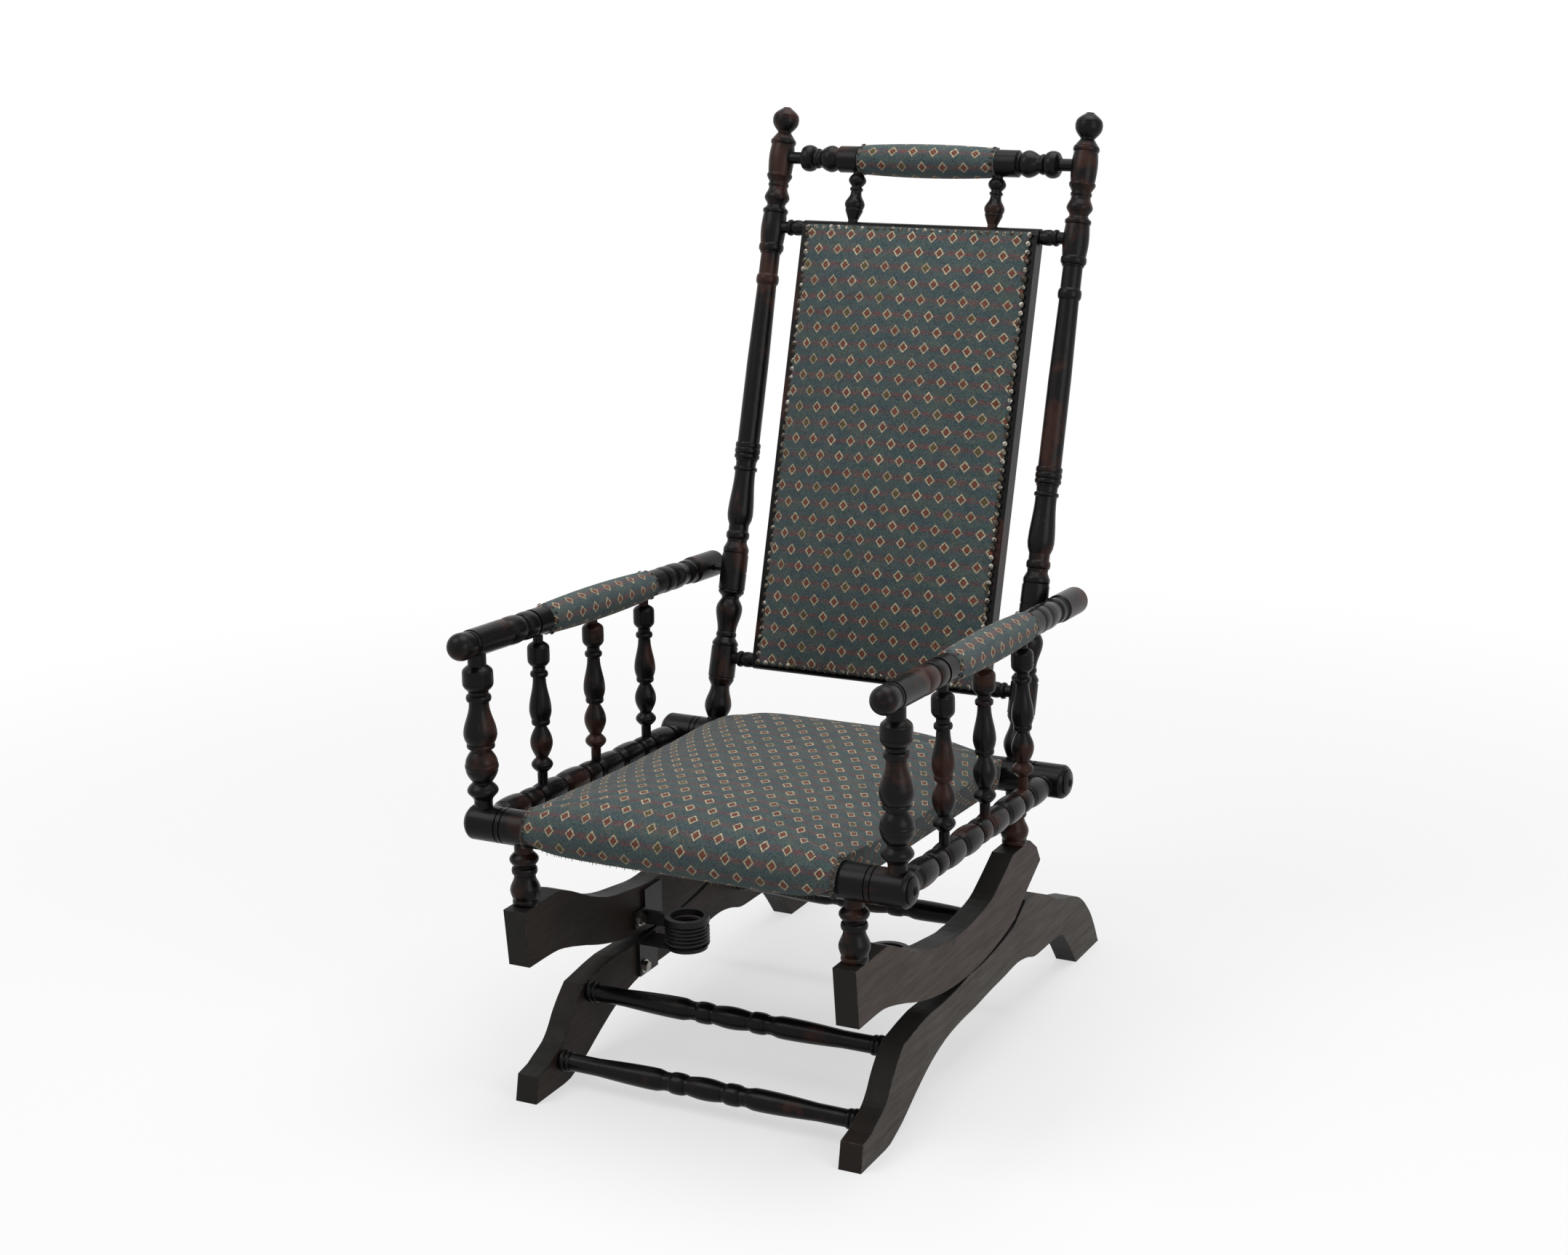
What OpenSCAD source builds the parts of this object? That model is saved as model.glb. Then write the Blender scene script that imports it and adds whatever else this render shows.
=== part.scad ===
// Platform rocker: an upholstered armchair that rocks on a fixed floor base.
// Front is -Y, up is +Z, and the floor is z = 0.

/* [Overall] */
// Height of the finials over the floor
chair_h = 1100; // [1060:5:1140]
// Distance between the axes of the two back posts
post_spacing = 418; // [410:1:426]
// Lean of the back away from upright, in degrees
back_lean = 17.1; // [14:0.1:19]

/* [Seat frame] */
// Length of the front seat rail
front_rail_len = 571; // [560:1:580]
// Length of the rear seat rail
rear_rail_len = 571; // [560:1:580]
// Radius of the front and rear seat rails
rail_r = 21; // [20:0.5:22]
// Place of the front rail's axis, ahead of the middle of the chair
front_rail_y = -343; // [-348:1:-338]
// Height of the front rail's axis
front_rail_z = 334; // [328:1:340]
// Place of the rear rail's axis
rear_rail_y = 119.5; // [117:0.5:122]
// Height of the rear rail's axis
rear_rail_z = 314; // [310:1:318]
// Distance between the axes of the two side rails at the front
side_rail_spacing = 526; // [522:1:530]
// Distance between the axes of the two side rails at the rear
side_rail_rear_spacing = 513; // [508:1:518]
// Largest radius of a side rail
side_rail_r = 16.5; // [15:0.5:17.5]

/* [Rockers] */
// Thickness of the rocker and base boards
board_thick = 28; // [24:1:32]
// Distance between the outer faces of the two boards
boards_w = 448; // [444:1:452]
// Length of a rocker board
rocker_len = 543; // [538:1:548]
// Height of a rocker board over its lowest point
rocker_h = 122; // [119:1:125]
// Place of a rocker board's front face
rocker_front_y = -370; // [-373:1:-367]
// Radius of the rolling edge
rolling_r = 530; // [500:5:560]
// Height of the rolling edge over the floor
rolling_z = 120; // [119:0.5:121]
// Largest radius of a short leg
leg_r = 17.2; // [15:0.2:18]

/* [Base] */
// Length of a base board
base_len = 752; // [744:1:760]
// Height of a base board at its rear stop
base_h = 162; // [158:1:166]
// Place of a base board's front toe
base_front_y = -362.5; // [-366:0.5:-359]
// Largest radius of a stretcher
stretcher_r = 12.8; // [11:0.2:14]

/* [Rocking] */
// Place of the rocking axis
pivot_y = -55; // [-60:1:-50]
// Height of the rocking axis
pivot_z = 154; // [148:1:160]
// How far the chair rocks forward, in degrees
rock_forward = 9; // [6:0.5:10]
// How far the chair rocks back, in degrees
rock_back = 3; // [2:0.5:4]

/* [Arms] */
// Largest radius of an arm
arm_r = 16.5; // [15:0.5:18]
// Height of the arm's front ball
arm_front_z = 552; // [546:1:558]
// Height of the arm's rear end
arm_rear_z = 519; // [514:1:524]
// Place of the arm's front ball
arm_front_y = -373; // [-376:1:-370]
// Place of the arm's rear end
arm_rear_y = 214; // [210:1:218]
// Distance between the arms' axes at the front
arm_front_spacing = 524; // [521:1:527]
// Distance between the arms' axes at the rear
arm_rear_spacing = 505; // [502:1:508]
// Radius of an arm pad at its fullest
arm_pad_r = 20.5; // [19:0.5:22]
// Largest radius of a front arm post
arm_post_r = 18.8; // [17:0.2:20]
// Largest radius of an arm spindle
spindle_r = 12.7; // [11:0.1:14]
// Distance from the front post to the first spindle
first_spindle = 127; // [124:1:130]
// Distance from one spindle to the next
spindle_pitch = 121.5; // [118:0.5:125]

/* [Back] */
// Largest radius of a back post
post_r = 18.5; // [17:0.5:19.5]
// Height of the bottom back rail up the post, from the rear seat rail
back_bottom_s = 101.7; // [99:0.5:104]
// Height of the top back rail up the post
back_top_s = 664.6; // [660:0.5:668]
// Height of the crest rail up the post
crest_s = 755.6; // [752:0.5:759]
// Radius of the two back rails
back_rail_r = 10.5; // [10:0.25:11]
// Distance between the outer faces of the back stiles
stiles_w = 324; // [320:1:328]
// Width of a back stile
stile_w = 22; // [20:0.5:24]
// Radius of the crest rail's turned balls
crest_r = 16.2; // [15:0.2:17]
// Radius of the crest pad at its fullest
crest_pad_r = 22.5; // [21:0.5:24]
// Length of the crest pad
crest_pad_len = 191; // [186:1:196]
// Distance between the axes of the two crest spindles
crest_spindle_spacing = 193; // [192:0.5:194]

/* [Upholstery] */
// Width of the seat over the front rail
seat_front_w = 396; // [390:1:400]
// Width of the seat behind its front corners
seat_rear_w = 404; // [398:1:410]
// Crown of the seat over its edges
seat_crown = 45; // [38:1:50]
// Height of the seat's rear edge over the rear rail
seat_rear_rise = 4.5; // [3:0.5:8]
// Thickness of the seat cover over the front rail
cover_thick = 4.5; // [4:0.25:6]
// Depth of the seat's floor below the tops of the rails
seat_depth = 35; // [30:1:39]
// Crown of the back pad over its edges
back_crown = 22; // [16:1:28]
// Thickness of the back pad at its nailed edge
back_edge_thick = 5; // [4:0.25:6]

/* [Springs] */
// Outer radius of a coil spring
coil_r = 28; // [27:0.5:29]
// Length of a coil spring
coil_h = 30; // [29:0.5:31]
// Curls in a coil spring
coil_curls = 5; // [4:1:5]
// Thickness of the spring wire
wire_d = 4.6; // [4:0.1:5]
// Place of the springs' axes, front to back
coil_y = -97; // [-99:1:-95]
// Distance from a board's inner face to the coil's axis
coil_reach = 60; // [58:1:62]
// Thickness of the spring brackets' iron
iron_thick = 4; // [3.5:0.25:4.5]

/* [Hidden] */

// Sides of the fine round solids
$fn = 48;
// Points along each bead, swell or cove of a turned profile
curve_steps = 7;
// Points between two chosen points of a board's outline
outline_steps = 3;
// Radial room round a tenon in its socket
socket_gap = 0.1;
// Room beyond the end of a tenon
socket_end_gap = 0.6;
// Room between faces that meet
face_gap = 0.08;
// Room between the two boards over the whole rocking travel
rock_gap = 0.8;
// How far a cutter runs past the face that it opens
overrun = 1;
// Depth of the tenons at the seat rails
rail_tenon = 9;
// Depth of a tenon in an arm, a side rail or a post
small_tenon = 8;
// Depth of a stretcher's tenon in a base board
stretcher_tenon = 14;
// Fineness of the search for the lowest sweep, in degrees
sweep_step = 0.5;
// Spindles under each arm, behind the front post
spindle_count = 3;

// Colours of the materials
wood_colour = [0.12, 0.10, 0.09];
board_colour = [0.36, 0.32, 0.29];
cloth_colour = [0.28, 0.35, 0.34];
iron_colour = [0.16, 0.16, 0.17];
steel_colour = [0.55, 0.54, 0.52];
jute_colour = [0.55, 0.46, 0.33];

// Small helpers for places and directions
function toward(a, b, d) = a + (b - a)/norm(b - a)*d;
function side_x(side, spacing) = side*spacing/2;
function mix(a, b, t) = a + (b - a)*t;

// Puts +Z of the children along the line from a to b, with the origin at a
module along(a, b) {
  d = b - a;
  turn = atan2(d[1], d[0]);
  tilt = acos(d[2]/norm(d));
  translate(a) rotate([0, tilt, turn]) children();
}

// Turned work: a feature is [kind, length, first radius, peak radius, last radius, place of the peak]
function round_off(t) = sqrt(max(0, 1 - t*t));
function rise(t) = sin(90*t);
function ease(t) = (1 - cos(180*t))/2;
function feature_radius(f, t) =
  f[0] == "bead" ? mix(f[2], f[3], round_off(2*t - 1)) :
  f[0] == "ball" && t < f[5] ? mix(f[2], f[3], round_off(1 - t/f[5])) :
  f[0] == "ball" ? mix(f[4], f[3], round_off((t - f[5])/(1 - f[5]))) :
  f[0] == "egg" ? (t < f[5] ? mix(f[2], f[3], rise(t/f[5])) : mix(f[4], f[3], rise((1 - t)/(1 - f[5])))) :
  f[0] == "vase" ? (t < f[5] ? mix(f[2], f[3], ease(t/f[5])) : mix(f[4], f[3], rise((1 - t)/(1 - f[5])))) :
  f[0] == "bulb" ? (t < f[5] ? mix(f[2], f[3], rise(t/f[5])) : mix(f[4], f[3], ease((1 - t)/(1 - f[5])))) :
  mix(f[2], f[3], t);
function feature_count(f) =
  f[0] == "plain" ? 1 : f[0] == "bead" ? curve_steps : f[0] == "ball" ? 2*curve_steps : curve_steps + 3;
function total(list, i = 0) = i >= len(list) ? 0 : list[i][1] + total(list, i + 1);
function start_share(list, last, i = 0) =
  i >= last ? 0 : list[i][1]/total(list) + start_share(list, last, i + 1);
function profile_points(features, length, radius) =
  let (unit = length/total(features))
  [for (i = 0, z = 0; i < len(features); z = z + features[i][1]*unit, i = i + 1)
    let (count = feature_count(features[i]))
    for (k = [0 : count])
      [max(0, feature_radius(features[i], k/count))*radius, z + features[i][1]*unit*k/count]];
function distinct(points) =
  [for (i = [0 : len(points) - 1]) if (i == 0 || norm(points[i] - points[i - 1]) > face_gap/8) points[i]];
function reversed(list) = [for (i = [len(list) - 1 : -1 : 0]) list[i]];
function both_ways(half) = concat(half, [for (f = reversed(half))
  [f[0] == "vase" ? "bulb" : f[0] == "bulb" ? "vase" : f[0], f[1],
   f[0] == "plain" ? f[3] : f[0] == "bead" ? f[2] : f[4], f[0] == "plain" ? f[2] : f[3],
   f[2], is_undef(f[5]) ? 0.5 : 1 - f[5]]]);

// One turned piece from a to b, with a tenon past each end
module turned(a, b, features, radius, tenon_a, tenon_b, tenon_r) {
  length = norm(b - a);
  body = profile_points(features, length, radius);
  foot = tenon_a > 0 ? [[0, -tenon_a], [tenon_r, -tenon_a], [tenon_r, 0]] : [[0, 0]];
  past = length + tenon_b;
  head = tenon_b > 0 ? [[tenon_r, length], [tenon_r, past], [0, past]] : [[0, length]];
  along(a, b) rotate_extrude() polygon(distinct(concat(foot, body, head)));
}

// The hole for a tenon that enters at a point and runs on away from another point
module socket(from, at, depth, radius) {
  along(toward(at, from, overrun + depth/2), toward(at, from, -depth))
    cylinder(r = radius + socket_gap, h = overrun + depth*1.5 + socket_end_gap);
}

// A smooth run through chosen points
function spline_point(p0, p1, p2, p3, t) =
  0.5*(2*p1 + (p2 - p0)*t + (2*p0 - 5*p1 + 4*p2 - p3)*t*t + (3*p1 - p0 - 3*p2 + p3)*t*t*t);
function smooth(points) =
  let (last = len(points) - 1)
  concat([for (i = [0 : last - 1])
    let (before = points[max(i - 1, 0)], after = points[min(i + 2, last)])
    for (k = [0 : outline_steps - 1])
      spline_point(before, points[i], points[i + 1], after, k/outline_steps)],
    [points[last]]);

// Places of the seat frame
function front_rail_point(x) = [x, front_rail_y, front_rail_z];
function rear_rail_point(x) = [x, rear_rail_y, rear_rail_z];
function frame_share(y) = (y - front_rail_y)/(rear_rail_y - front_rail_y);
function frame_z(y) = mix(front_rail_z, rear_rail_z, frame_share(y));
function side_rail_point(side, y) =
  [side_x(side, mix(side_rail_spacing, side_rail_rear_spacing, frame_share(y))), y, frame_z(y)];

// Places of the back: s runs up the post from the rear rail's axis, and off is ahead of the post's axis
lean_up = [0, sin(back_lean), cos(back_lean)];
lean_ahead = [0, -cos(back_lean), sin(back_lean)];
finial_tip_share = 0.3;
post_len = (chair_h - rear_rail_z - post_r*finial_tip_share*sin(back_lean))/cos(back_lean);
function back_point(x, s, off = 0) = [x, rear_rail_y, rear_rail_z] + lean_up*s + lean_ahead*off;
module on_back() {
  translate([0, rear_rail_y, rear_rail_z]) rotate([-back_lean, 0, 0]) children();
}

// Places of the arms
function arm_point(side, y) =
  let (t = (y - arm_front_y)/(arm_rear_y - arm_front_y))
  [side*mix(arm_front_spacing, arm_rear_spacing, t)/2, y, mix(arm_front_z, arm_rear_z, t)];
function arm_ball(side) = arm_point(side, arm_front_y);
function arm_end(side) = arm_point(side, arm_rear_y);
arm_tip_share = 0.97;
function arm_start(side) = toward(arm_ball(side), arm_end(side), -arm_r*arm_tip_share);
function spindle_y(i) = front_rail_y + first_spindle + (i - 1)*spindle_pitch;

// Turned shapes, written as shares of each piece's length and of its largest radius
arm_post_neck_share = 0.55;
arm_post_shares = [
  ["plain", 0.057, 0.55, 0.55], ["bead", 0.075, 0.62, 0.90], ["plain", 0.019, 0.55, 0.55],
  ["bead", 0.090, 0.62, 0.97], ["bead", 0.012, 0.96, 1.0], ["bead", 0.090, 0.62, 0.97],
  ["plain", 0.020, 0.58, 0.60], ["bead", 0.033, 0.72, 0.86],
  ["bulb", 0.212, 0.76, 0.98, 0.60, 0.36], ["plain", 0.060, 0.60, 0.60], ["bead", 0.033, 0.62, 0.77],
  ["plain", 0.052, 0.60, 0.62], ["bead", 0.05, 0.74, 0.92], ["plain", 0.008, 0.86, 0.86],
  ["plain", 0.05, 0.92, 0.90], ["egg", 0.03, 0.88, 0.88, 0.56, 0.1], ["plain", 0.09, 0.55, 0.55]];
spindle_neck_share = 0.42;
spindle_shares = [
  ["plain", 0.093, 0.42, 0.42], ["bead", 0.062, 0.5, 0.97], ["plain", 0.02, 0.45, 0.45],
  ["egg", 0.20, 0.5, 1.0, 0.48, 0.57], ["plain", 0.03, 0.45, 0.5], ["plain", 0.012, 0.78, 0.78],
  ["bulb", 0.254, 0.78, 1.0, 0.55, 0.3], ["bead", 0.044, 0.57, 0.79], ["plain", 0.05, 0.53, 0.55],
  ["egg", 0.035, 0.6, 0.92, 0.92, 0.9], ["plain", 0.05, 0.95, 0.95], ["plain", 0.008, 0.88, 0.88],
  ["egg", 0.035, 0.95, 0.95, 0.48, 0.2], ["plain", 0.07, 0.42, 0.42]];
leg_shares = [
  ["bead", 0.06, 0.66, 0.74], ["bulb", 0.40, 0.74, 1.0, 0.66, 0.42], ["plain", 0.06, 0.62, 0.62],
  ["bead", 0.09, 0.62, 0.80], ["plain", 0.05, 0.60, 0.60], ["egg", 0.27, 0.62, 0.95, 0.68, 0.35],
  ["plain", 0.07, 0.64, 0.64]];
post_neck_share = 0.66;
post_shares = [
  ["plain", 4, 0.66, 0.66], ["bulb", 46, 0.84, 0.98, 0.70, 0.38], ["plain", 4, 0.7, 0.75],
  ["bead", 9, 0.9, 1.0], ["plain", 32, 0.95, 0.95], ["plain", 8, 0.93, 0.9], ["bead", 5, 0.85, 0.9],
  ["bead", 8, 0.86, 0.98], ["bulb", 44, 0.66, 0.97, 0.68, 0.62], ["bead", 7, 0.9, 0.98],
  ["plain", 24, 0.97, 0.99], ["plain", 1.5, 0.92, 0.92], ["plain", 24, 0.99, 0.97],
  ["egg", 9, 0.93, 0.93, 0.72, 0.1], ["bead", 10, 0.84, 0.96], ["plain", 6, 0.68, 0.68],
  ["bulb", 62, 0.78, 0.95, 0.66, 0.2],
  ["bead", 7, 0.8, 1.0], ["bead", 9, 0.88, 0.94], ["bead", 9, 0.88, 0.96], ["bead", 10, 0.9, 1.0],
  ["plain", 213, 0.86, 0.76], ["bead", 7, 0.78, 0.9], ["plain", 30, 0.78, 0.78],
  ["bead", 6, 0.82, 0.93], ["bead", 6, 0.82, 0.93], ["plain", 34, 0.85, 0.87], ["bead", 8, 0.82, 0.92],
  ["bead", 26, 0.6, 0.98], ["bead", 9, 0.62, 0.82], ["plain", 4, 0.7, 0.7], ["bead", 6, 0.8, 0.86],
  ["plain", 44, 0.78, 0.86], ["bead", 6, 0.86, 0.93], ["plain", 5, 0.6, 0.6], ["bead", 12, 0.7, 0.96],
  ["bead", 3, 0.96, 1.0], ["bead", 13, 0.7, 0.96], ["bead", 5, 0.3, 0.42]];
stretcher_neck_share = 0.72;
stretcher_half_shares = [
  ["plain", 0.02, 0.74, 0.74], ["bead", 0.012, 0.76, 0.84], ["bead", 0.012, 0.76, 0.84],
  ["plain", 0.27, 0.70, 0.93], ["plain", 0.006, 0.78, 0.78], ["bead", 0.052, 0.80, 0.96],
  ["plain", 0.006, 0.76, 0.76], ["bead", 0.06, 0.84, 1.0], ["plain", 0.006, 0.78, 0.78],
  ["plain", 0.04, 0.9, 0.93]];
side_unit_shares = [
  ["bead", 0.38, 0.76, 1.0], ["plain", 0.02, 0.72, 0.72], ["bead", 0.20, 0.78, 0.92],
  ["plain", 0.02, 0.72, 0.72], ["bead", 0.38, 0.78, 0.98], ["plain", 0.02, 0.72, 0.72]];
side_rail_shares = concat(
  [["plain", 0.10, 0.74, 0.80]], side_unit_shares, side_unit_shares, side_unit_shares,
  [["plain", 0.10, 0.80, 0.74]]);
side_rail_neck_share = 0.6;
side_rail_gap = 0.3;
rail_end_shares = [
  ["egg", 0.003, 0.08, 0.22, 0.22, 0.9], ["plain", 0.001, 0.26, 0.26], ["egg", 0.006, 0.34, 0.74, 0.74, 0.9],
  ["plain", 0.002, 0.74, 0.74], ["egg", 0.011, 0.84, 1.0, 1.0, 0.9], ["plain", 0.060, 1.0, 1.0],
  ["plain", 0.003, 0.93, 0.93], ["plain", 0.009, 1.0, 1.0], ["plain", 0.003, 0.93, 0.93],
  ["plain", 0.40, 1.0, 1.0]];
arm_shares = [
  ["ball", 0.056, 0, 1.0, 0.60, 0.5], ["plain", 0.006, 0.74, 0.74], ["bead", 0.030, 0.80, 0.90],
  ["plain", 0.060, 0.88, 0.92], ["plain", 0.004, 0.84, 0.84], ["bead", 0.045, 0.86, 0.95],
  ["bead", 0.014, 0.82, 0.90], ["bead", 0.045, 0.84, 0.96], ["plain", 0.004, 0.82, 0.82],
  ["bead", 0.016, 0.86, 0.93], ["plain", 0.030, 0.90, 0.90], ["plain", 0.400, 0.80, 0.80],
  ["plain", 0.045, 0.90, 0.90], ["bead", 0.014, 0.84, 0.94], ["bead", 0.050, 0.84, 0.96],
  ["plain", 0.004, 0.80, 0.80], ["bead", 0.060, 0.84, 0.95], ["plain", 0.004, 0.80, 0.80],
  ["plain", 0.085, 0.88, 0.90], ["egg", 0.016, 0.90, 0.90, 0.55, 0.1]];
arm_core = 11;
arm_pad_start_share = start_share(arm_shares, arm_core);
arm_pad_end_share = start_share(arm_shares, arm_core + 1);
arm_core_share = arm_shares[arm_core][2];
back_rail_neck_share = 0.72;
back_rail_half_shares = [
  ["plain", 0.018, 0.72, 0.72], ["bead", 0.016, 0.8, 1.0], ["egg", 0.045, 0.78, 0.96, 0.80, 0.35],
  ["plain", 0.42, 1.0, 1.0]];
crest_neck_share = 0.44;
crest_end_shares = [
  ["plain", 0.035, 0.44, 0.44], ["bead", 0.070, 0.52, 1.0], ["bead", 0.014, 0.6, 0.8],
  ["bead", 0.076, 0.6, 1.0], ["bead", 0.012, 0.7, 0.84], ["plain", 0.055, 0.84, 0.90]];
crest_core_share = 0.84;
crest_shoulder_share = 0.92;
crest_spindle_r = 12.5;
crest_spindle_neck_share = 0.5;
crest_spindle_shares = [
  ["plain", 0.16, 0.72, 0.56], ["plain", 0.04, 0.56, 0.56], ["bead", 0.08, 0.7, 0.9],
  ["bulb", 0.34, 0.72, 1.0, 0.56, 0.35], ["plain", 0.08, 0.56, 0.56], ["bead", 0.14, 0.6, 0.88],
  ["plain", 0.12, 0.52, 0.52]];

// Outline of a rocker board, in shares of its length and of its height over the rolling edge
rocker_top_shares = [
  [0.150, 1.0], [0.193, 0.925], [0.279, 0.737], [0.356, 0.617], [0.447, 0.549], [0.529, 0.504],
  [0.612, 0.522], [0.697, 0.571], [0.754, 0.680], [0.806, 0.800], [0.8306, 0.860]];
rocker_front_shares = [[0.071, 0.429], [0.132, 0.417], [0.1915, 0.353]];
rocker_front_foot_share = [0.013, 0.429];
rocker_tip_shares = [
  [0.851, 0.172], [0.890, 0.275], [0.920, 0.358], [1.0, 0.557], [0.9766, 0.730], [0.935, 0.860]];
rocker_low_share = 0.589;
rocker_arc_shares = [0.245, 0.845];
rocker_arc_steps = 28;
function rocker_at(share) = [rocker_front_y + share[0]*rocker_len, rolling_z + share[1]*rocker_h];
rocker_low_y = rocker_front_y + rocker_low_share*rocker_len;
function rolling_edge_z(y) = rolling_z + rolling_r - sqrt(pow(rolling_r, 2) - pow(y - rocker_low_y, 2));
rocker_under = concat(
  smooth([for (p = rocker_front_shares) rocker_at(p)]),
  [for (k = [0 : rocker_arc_steps])
    let (y = rocker_front_y + mix(rocker_arc_shares[0], rocker_arc_shares[1], k/rocker_arc_steps)*rocker_len)
    [y, rolling_edge_z(y)]],
  [for (i = [0 : 3]) rocker_at(rocker_tip_shares[i])]);
rocker_outline = concat(
  [rocker_at([0, 1]), rocker_at(rocker_front_foot_share)], rocker_under,
  [for (i = [4 : 5]) rocker_at(rocker_tip_shares[i])],
  reversed(smooth([for (p = rocker_top_shares) rocker_at(p)])));

// Pads on the rocker boards that the short legs stand on
front_pad_z = rocker_at(rocker_top_shares[0])[1];
rear_pad_z = rocker_at(rocker_tip_shares[5])[1];

// Outline of a base board, in shares of its length and its height
base_toe_shares = [[0, 0], [0.0093, 0.196], [0.0375, 0.222]];
base_cove_shares = [
  [0.051, 0.250], [0.0815, 0.313], [0.0999, 0.392], [0.1134, 0.478], [0.1318, 0.569], [0.1539, 0.659]];
base_top_shares = [
  [0.1906, 0.682], [0.2188, 0.699], [0.2653, 0.716], [0.313, 0.722], [0.362, 0.733], [0.412, 0.738],
  [0.4625, 0.747], [0.531, 0.778], [0.5625, 0.80], [0.594, 0.818], [0.613, 0.845], [0.626, 0.890],
  [0.648, 0.996]];
base_stop_shares = [[0.691, 0.920], [0.742, 0.823]];
base_rear_shares = [
  [0.7625, 0.778], [0.783, 0.729], [0.811, 0.672], [0.8465, 0.628], [0.882, 0.580], [0.904, 0.532],
  [0.9266, 0.458], [0.957, 0.319], [0.980, 0.164], [0.9967, 0.021]];
base_heel_shares = [[1.0, 0], [0.889, 0]];
base_arch_shares = [
  [0.862, 0.154], [0.836, 0.284], [0.814, 0.364], [0.771, 0.383], [0.7355, 0.386], [0.690, 0.395],
  [0.656, 0.443], [0.612, 0.475], [0.553, 0.463], [0.494, 0.455], [0.433, 0.438], [0.372, 0.432],
  [0.313, 0.404], [0.2554, 0.33], [0.199, 0.21], [0.148, 0.085], [0.103, 0.008]];
base_sole_share = [0.085, 0];
function base_at(share) = [base_front_y + share[0]*base_len, share[1]*base_h];
function turned_about_pivot(p, a) =
  let (d = p - [pivot_y, pivot_z])
  [pivot_y, pivot_z] + [d[0]*cos(a) - d[1]*sin(a), d[0]*sin(a) + d[1]*cos(a)];
swept_edges = [for (a = [-rock_back : sweep_step : rock_forward])
  [for (p = rocker_under) turned_about_pivot(p, a)]];
function lowest_sweep(y) =
  min([for (edge = swept_edges) y < edge[0][0] ? base_h*2 : lookup(y, edge)]) - rock_gap;
function under_sweep(p) = [p[0], min(p[1], lowest_sweep(p[0]))];
base_top_run = smooth([for (p = base_top_shares) base_at(p)]);
base_outline = concat(
  [for (p = base_toe_shares) base_at(p)],
  smooth([for (p = base_cove_shares) base_at(p)]),
  [for (p = base_top_run) under_sweep(p)],
  [for (p = base_stop_shares) under_sweep(base_at(p))],
  smooth([for (p = base_rear_shares) base_at(p)]),
  [for (p = base_heel_shares) base_at(p)],
  smooth([for (p = base_arch_shares) base_at(p)]),
  [base_at(base_sole_share)]);

// Board faces across the chair
board_outer_x = boards_w/2;
board_inner_x = boards_w/2 - board_thick;
module board(side, outline) {
  translate([side > 0 ? board_inner_x : -board_outer_x, 0, 0])
    rotate([90, 0, 90]) linear_extrude(board_thick) polygon(outline);
}

// Stretchers between the base boards, in shares of a base board's length and height
stretcher_shares = [[0.168, 0.586], [0.078, 0.204], [0.6815, 0.642]];

// The bolts of the spring brackets
bolt_r = 4;
bolt_head_r = 7;
bolt_head_h = 4.5;
bolt_len = 22;
washer_r = 9;
washer_h = 1.6;
upper_bolt_z = 145;
lower_bolt_z = 80;
// How far the bolts stand ahead of the coils
upper_bolt_ahead = 19;
lower_bolt_ahead = 12;
upper_bolt_y = coil_y - upper_bolt_ahead;
lower_bolt_y = coil_y - lower_bolt_ahead;

// The spring brackets: plates on the boards' inner faces, with an arm to the coil
bracket_w = 44;
bracket_margin = 11;
tongue_w = 42;
tongue_rise = 33;
arm_bar_h = 17;
arm_bar_w = 6;
arm_bar_ahead = 5;
lower_plate_r = 25;
lower_arm_w = 34;
lower_seat_z = 110;
ring_wall = 7;
ring_h = 8;
coil_gap = 0.3;
bracket_hole_gap = 0.3;
coil_side_x = board_inner_x - coil_reach;
coil_foot_z = lower_seat_z + iron_thick;
upper_seat_z = coil_foot_z + coil_h;

// The base
module base_side(side) {
  color(board_colour) difference() {
    board(side, base_outline);
    for (i = [0 : 2]) stretcher_socket(side, i);
    bolt_hole(side, lower_bolt_y, lower_bolt_z);
  }
}
function stretcher_end(side, i) = concat([side*board_inner_x], base_at(stretcher_shares[i]));
module stretcher_socket(side, i) {
  socket(stretcher_end(0, i), stretcher_end(side, i), stretcher_tenon, stretcher_r*stretcher_neck_share);
}
module stretcher(i) {
  color(wood_colour) turned(stretcher_end(-1, i), stretcher_end(1, i), both_ways(stretcher_half_shares),
    stretcher_r, stretcher_tenon, stretcher_tenon, stretcher_r*stretcher_neck_share);
}
module bolt_hole(side, y, z) {
  socket([0, y, z], [side*board_inner_x, y, z], bolt_len, bolt_r);
}

// The rockers and the short legs
module rocker_side(side) {
  color(board_colour) difference() {
    board(side, rocker_outline);
    for (end = [0, 1]) leg_foot_socket(side, end);
    bolt_hole(side, upper_bolt_y, upper_bolt_z);
  }
}
function leg_y(end) = end == 0 ? front_rail_y : rear_rail_y;
leg_x = (boards_w - board_thick)/2;
function leg_foot(side, end) = [side*leg_x, leg_y(end), end == 0 ? front_pad_z : rear_pad_z];
function leg_head(side, end) = [side*leg_x, leg_y(end), frame_z(leg_y(end)) - rail_r];
leg_tenon_share = 0.52;
module leg_foot_socket(side, end) {
  socket(leg_head(side, end), leg_foot(side, end), rail_tenon*2, leg_r*leg_tenon_share);
}
module leg(side, end) {
  color(wood_colour) turned(leg_foot(side, end), leg_head(side, end), leg_shares, leg_r,
    rail_tenon*2, rail_tenon, leg_r*leg_tenon_share);
}

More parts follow.
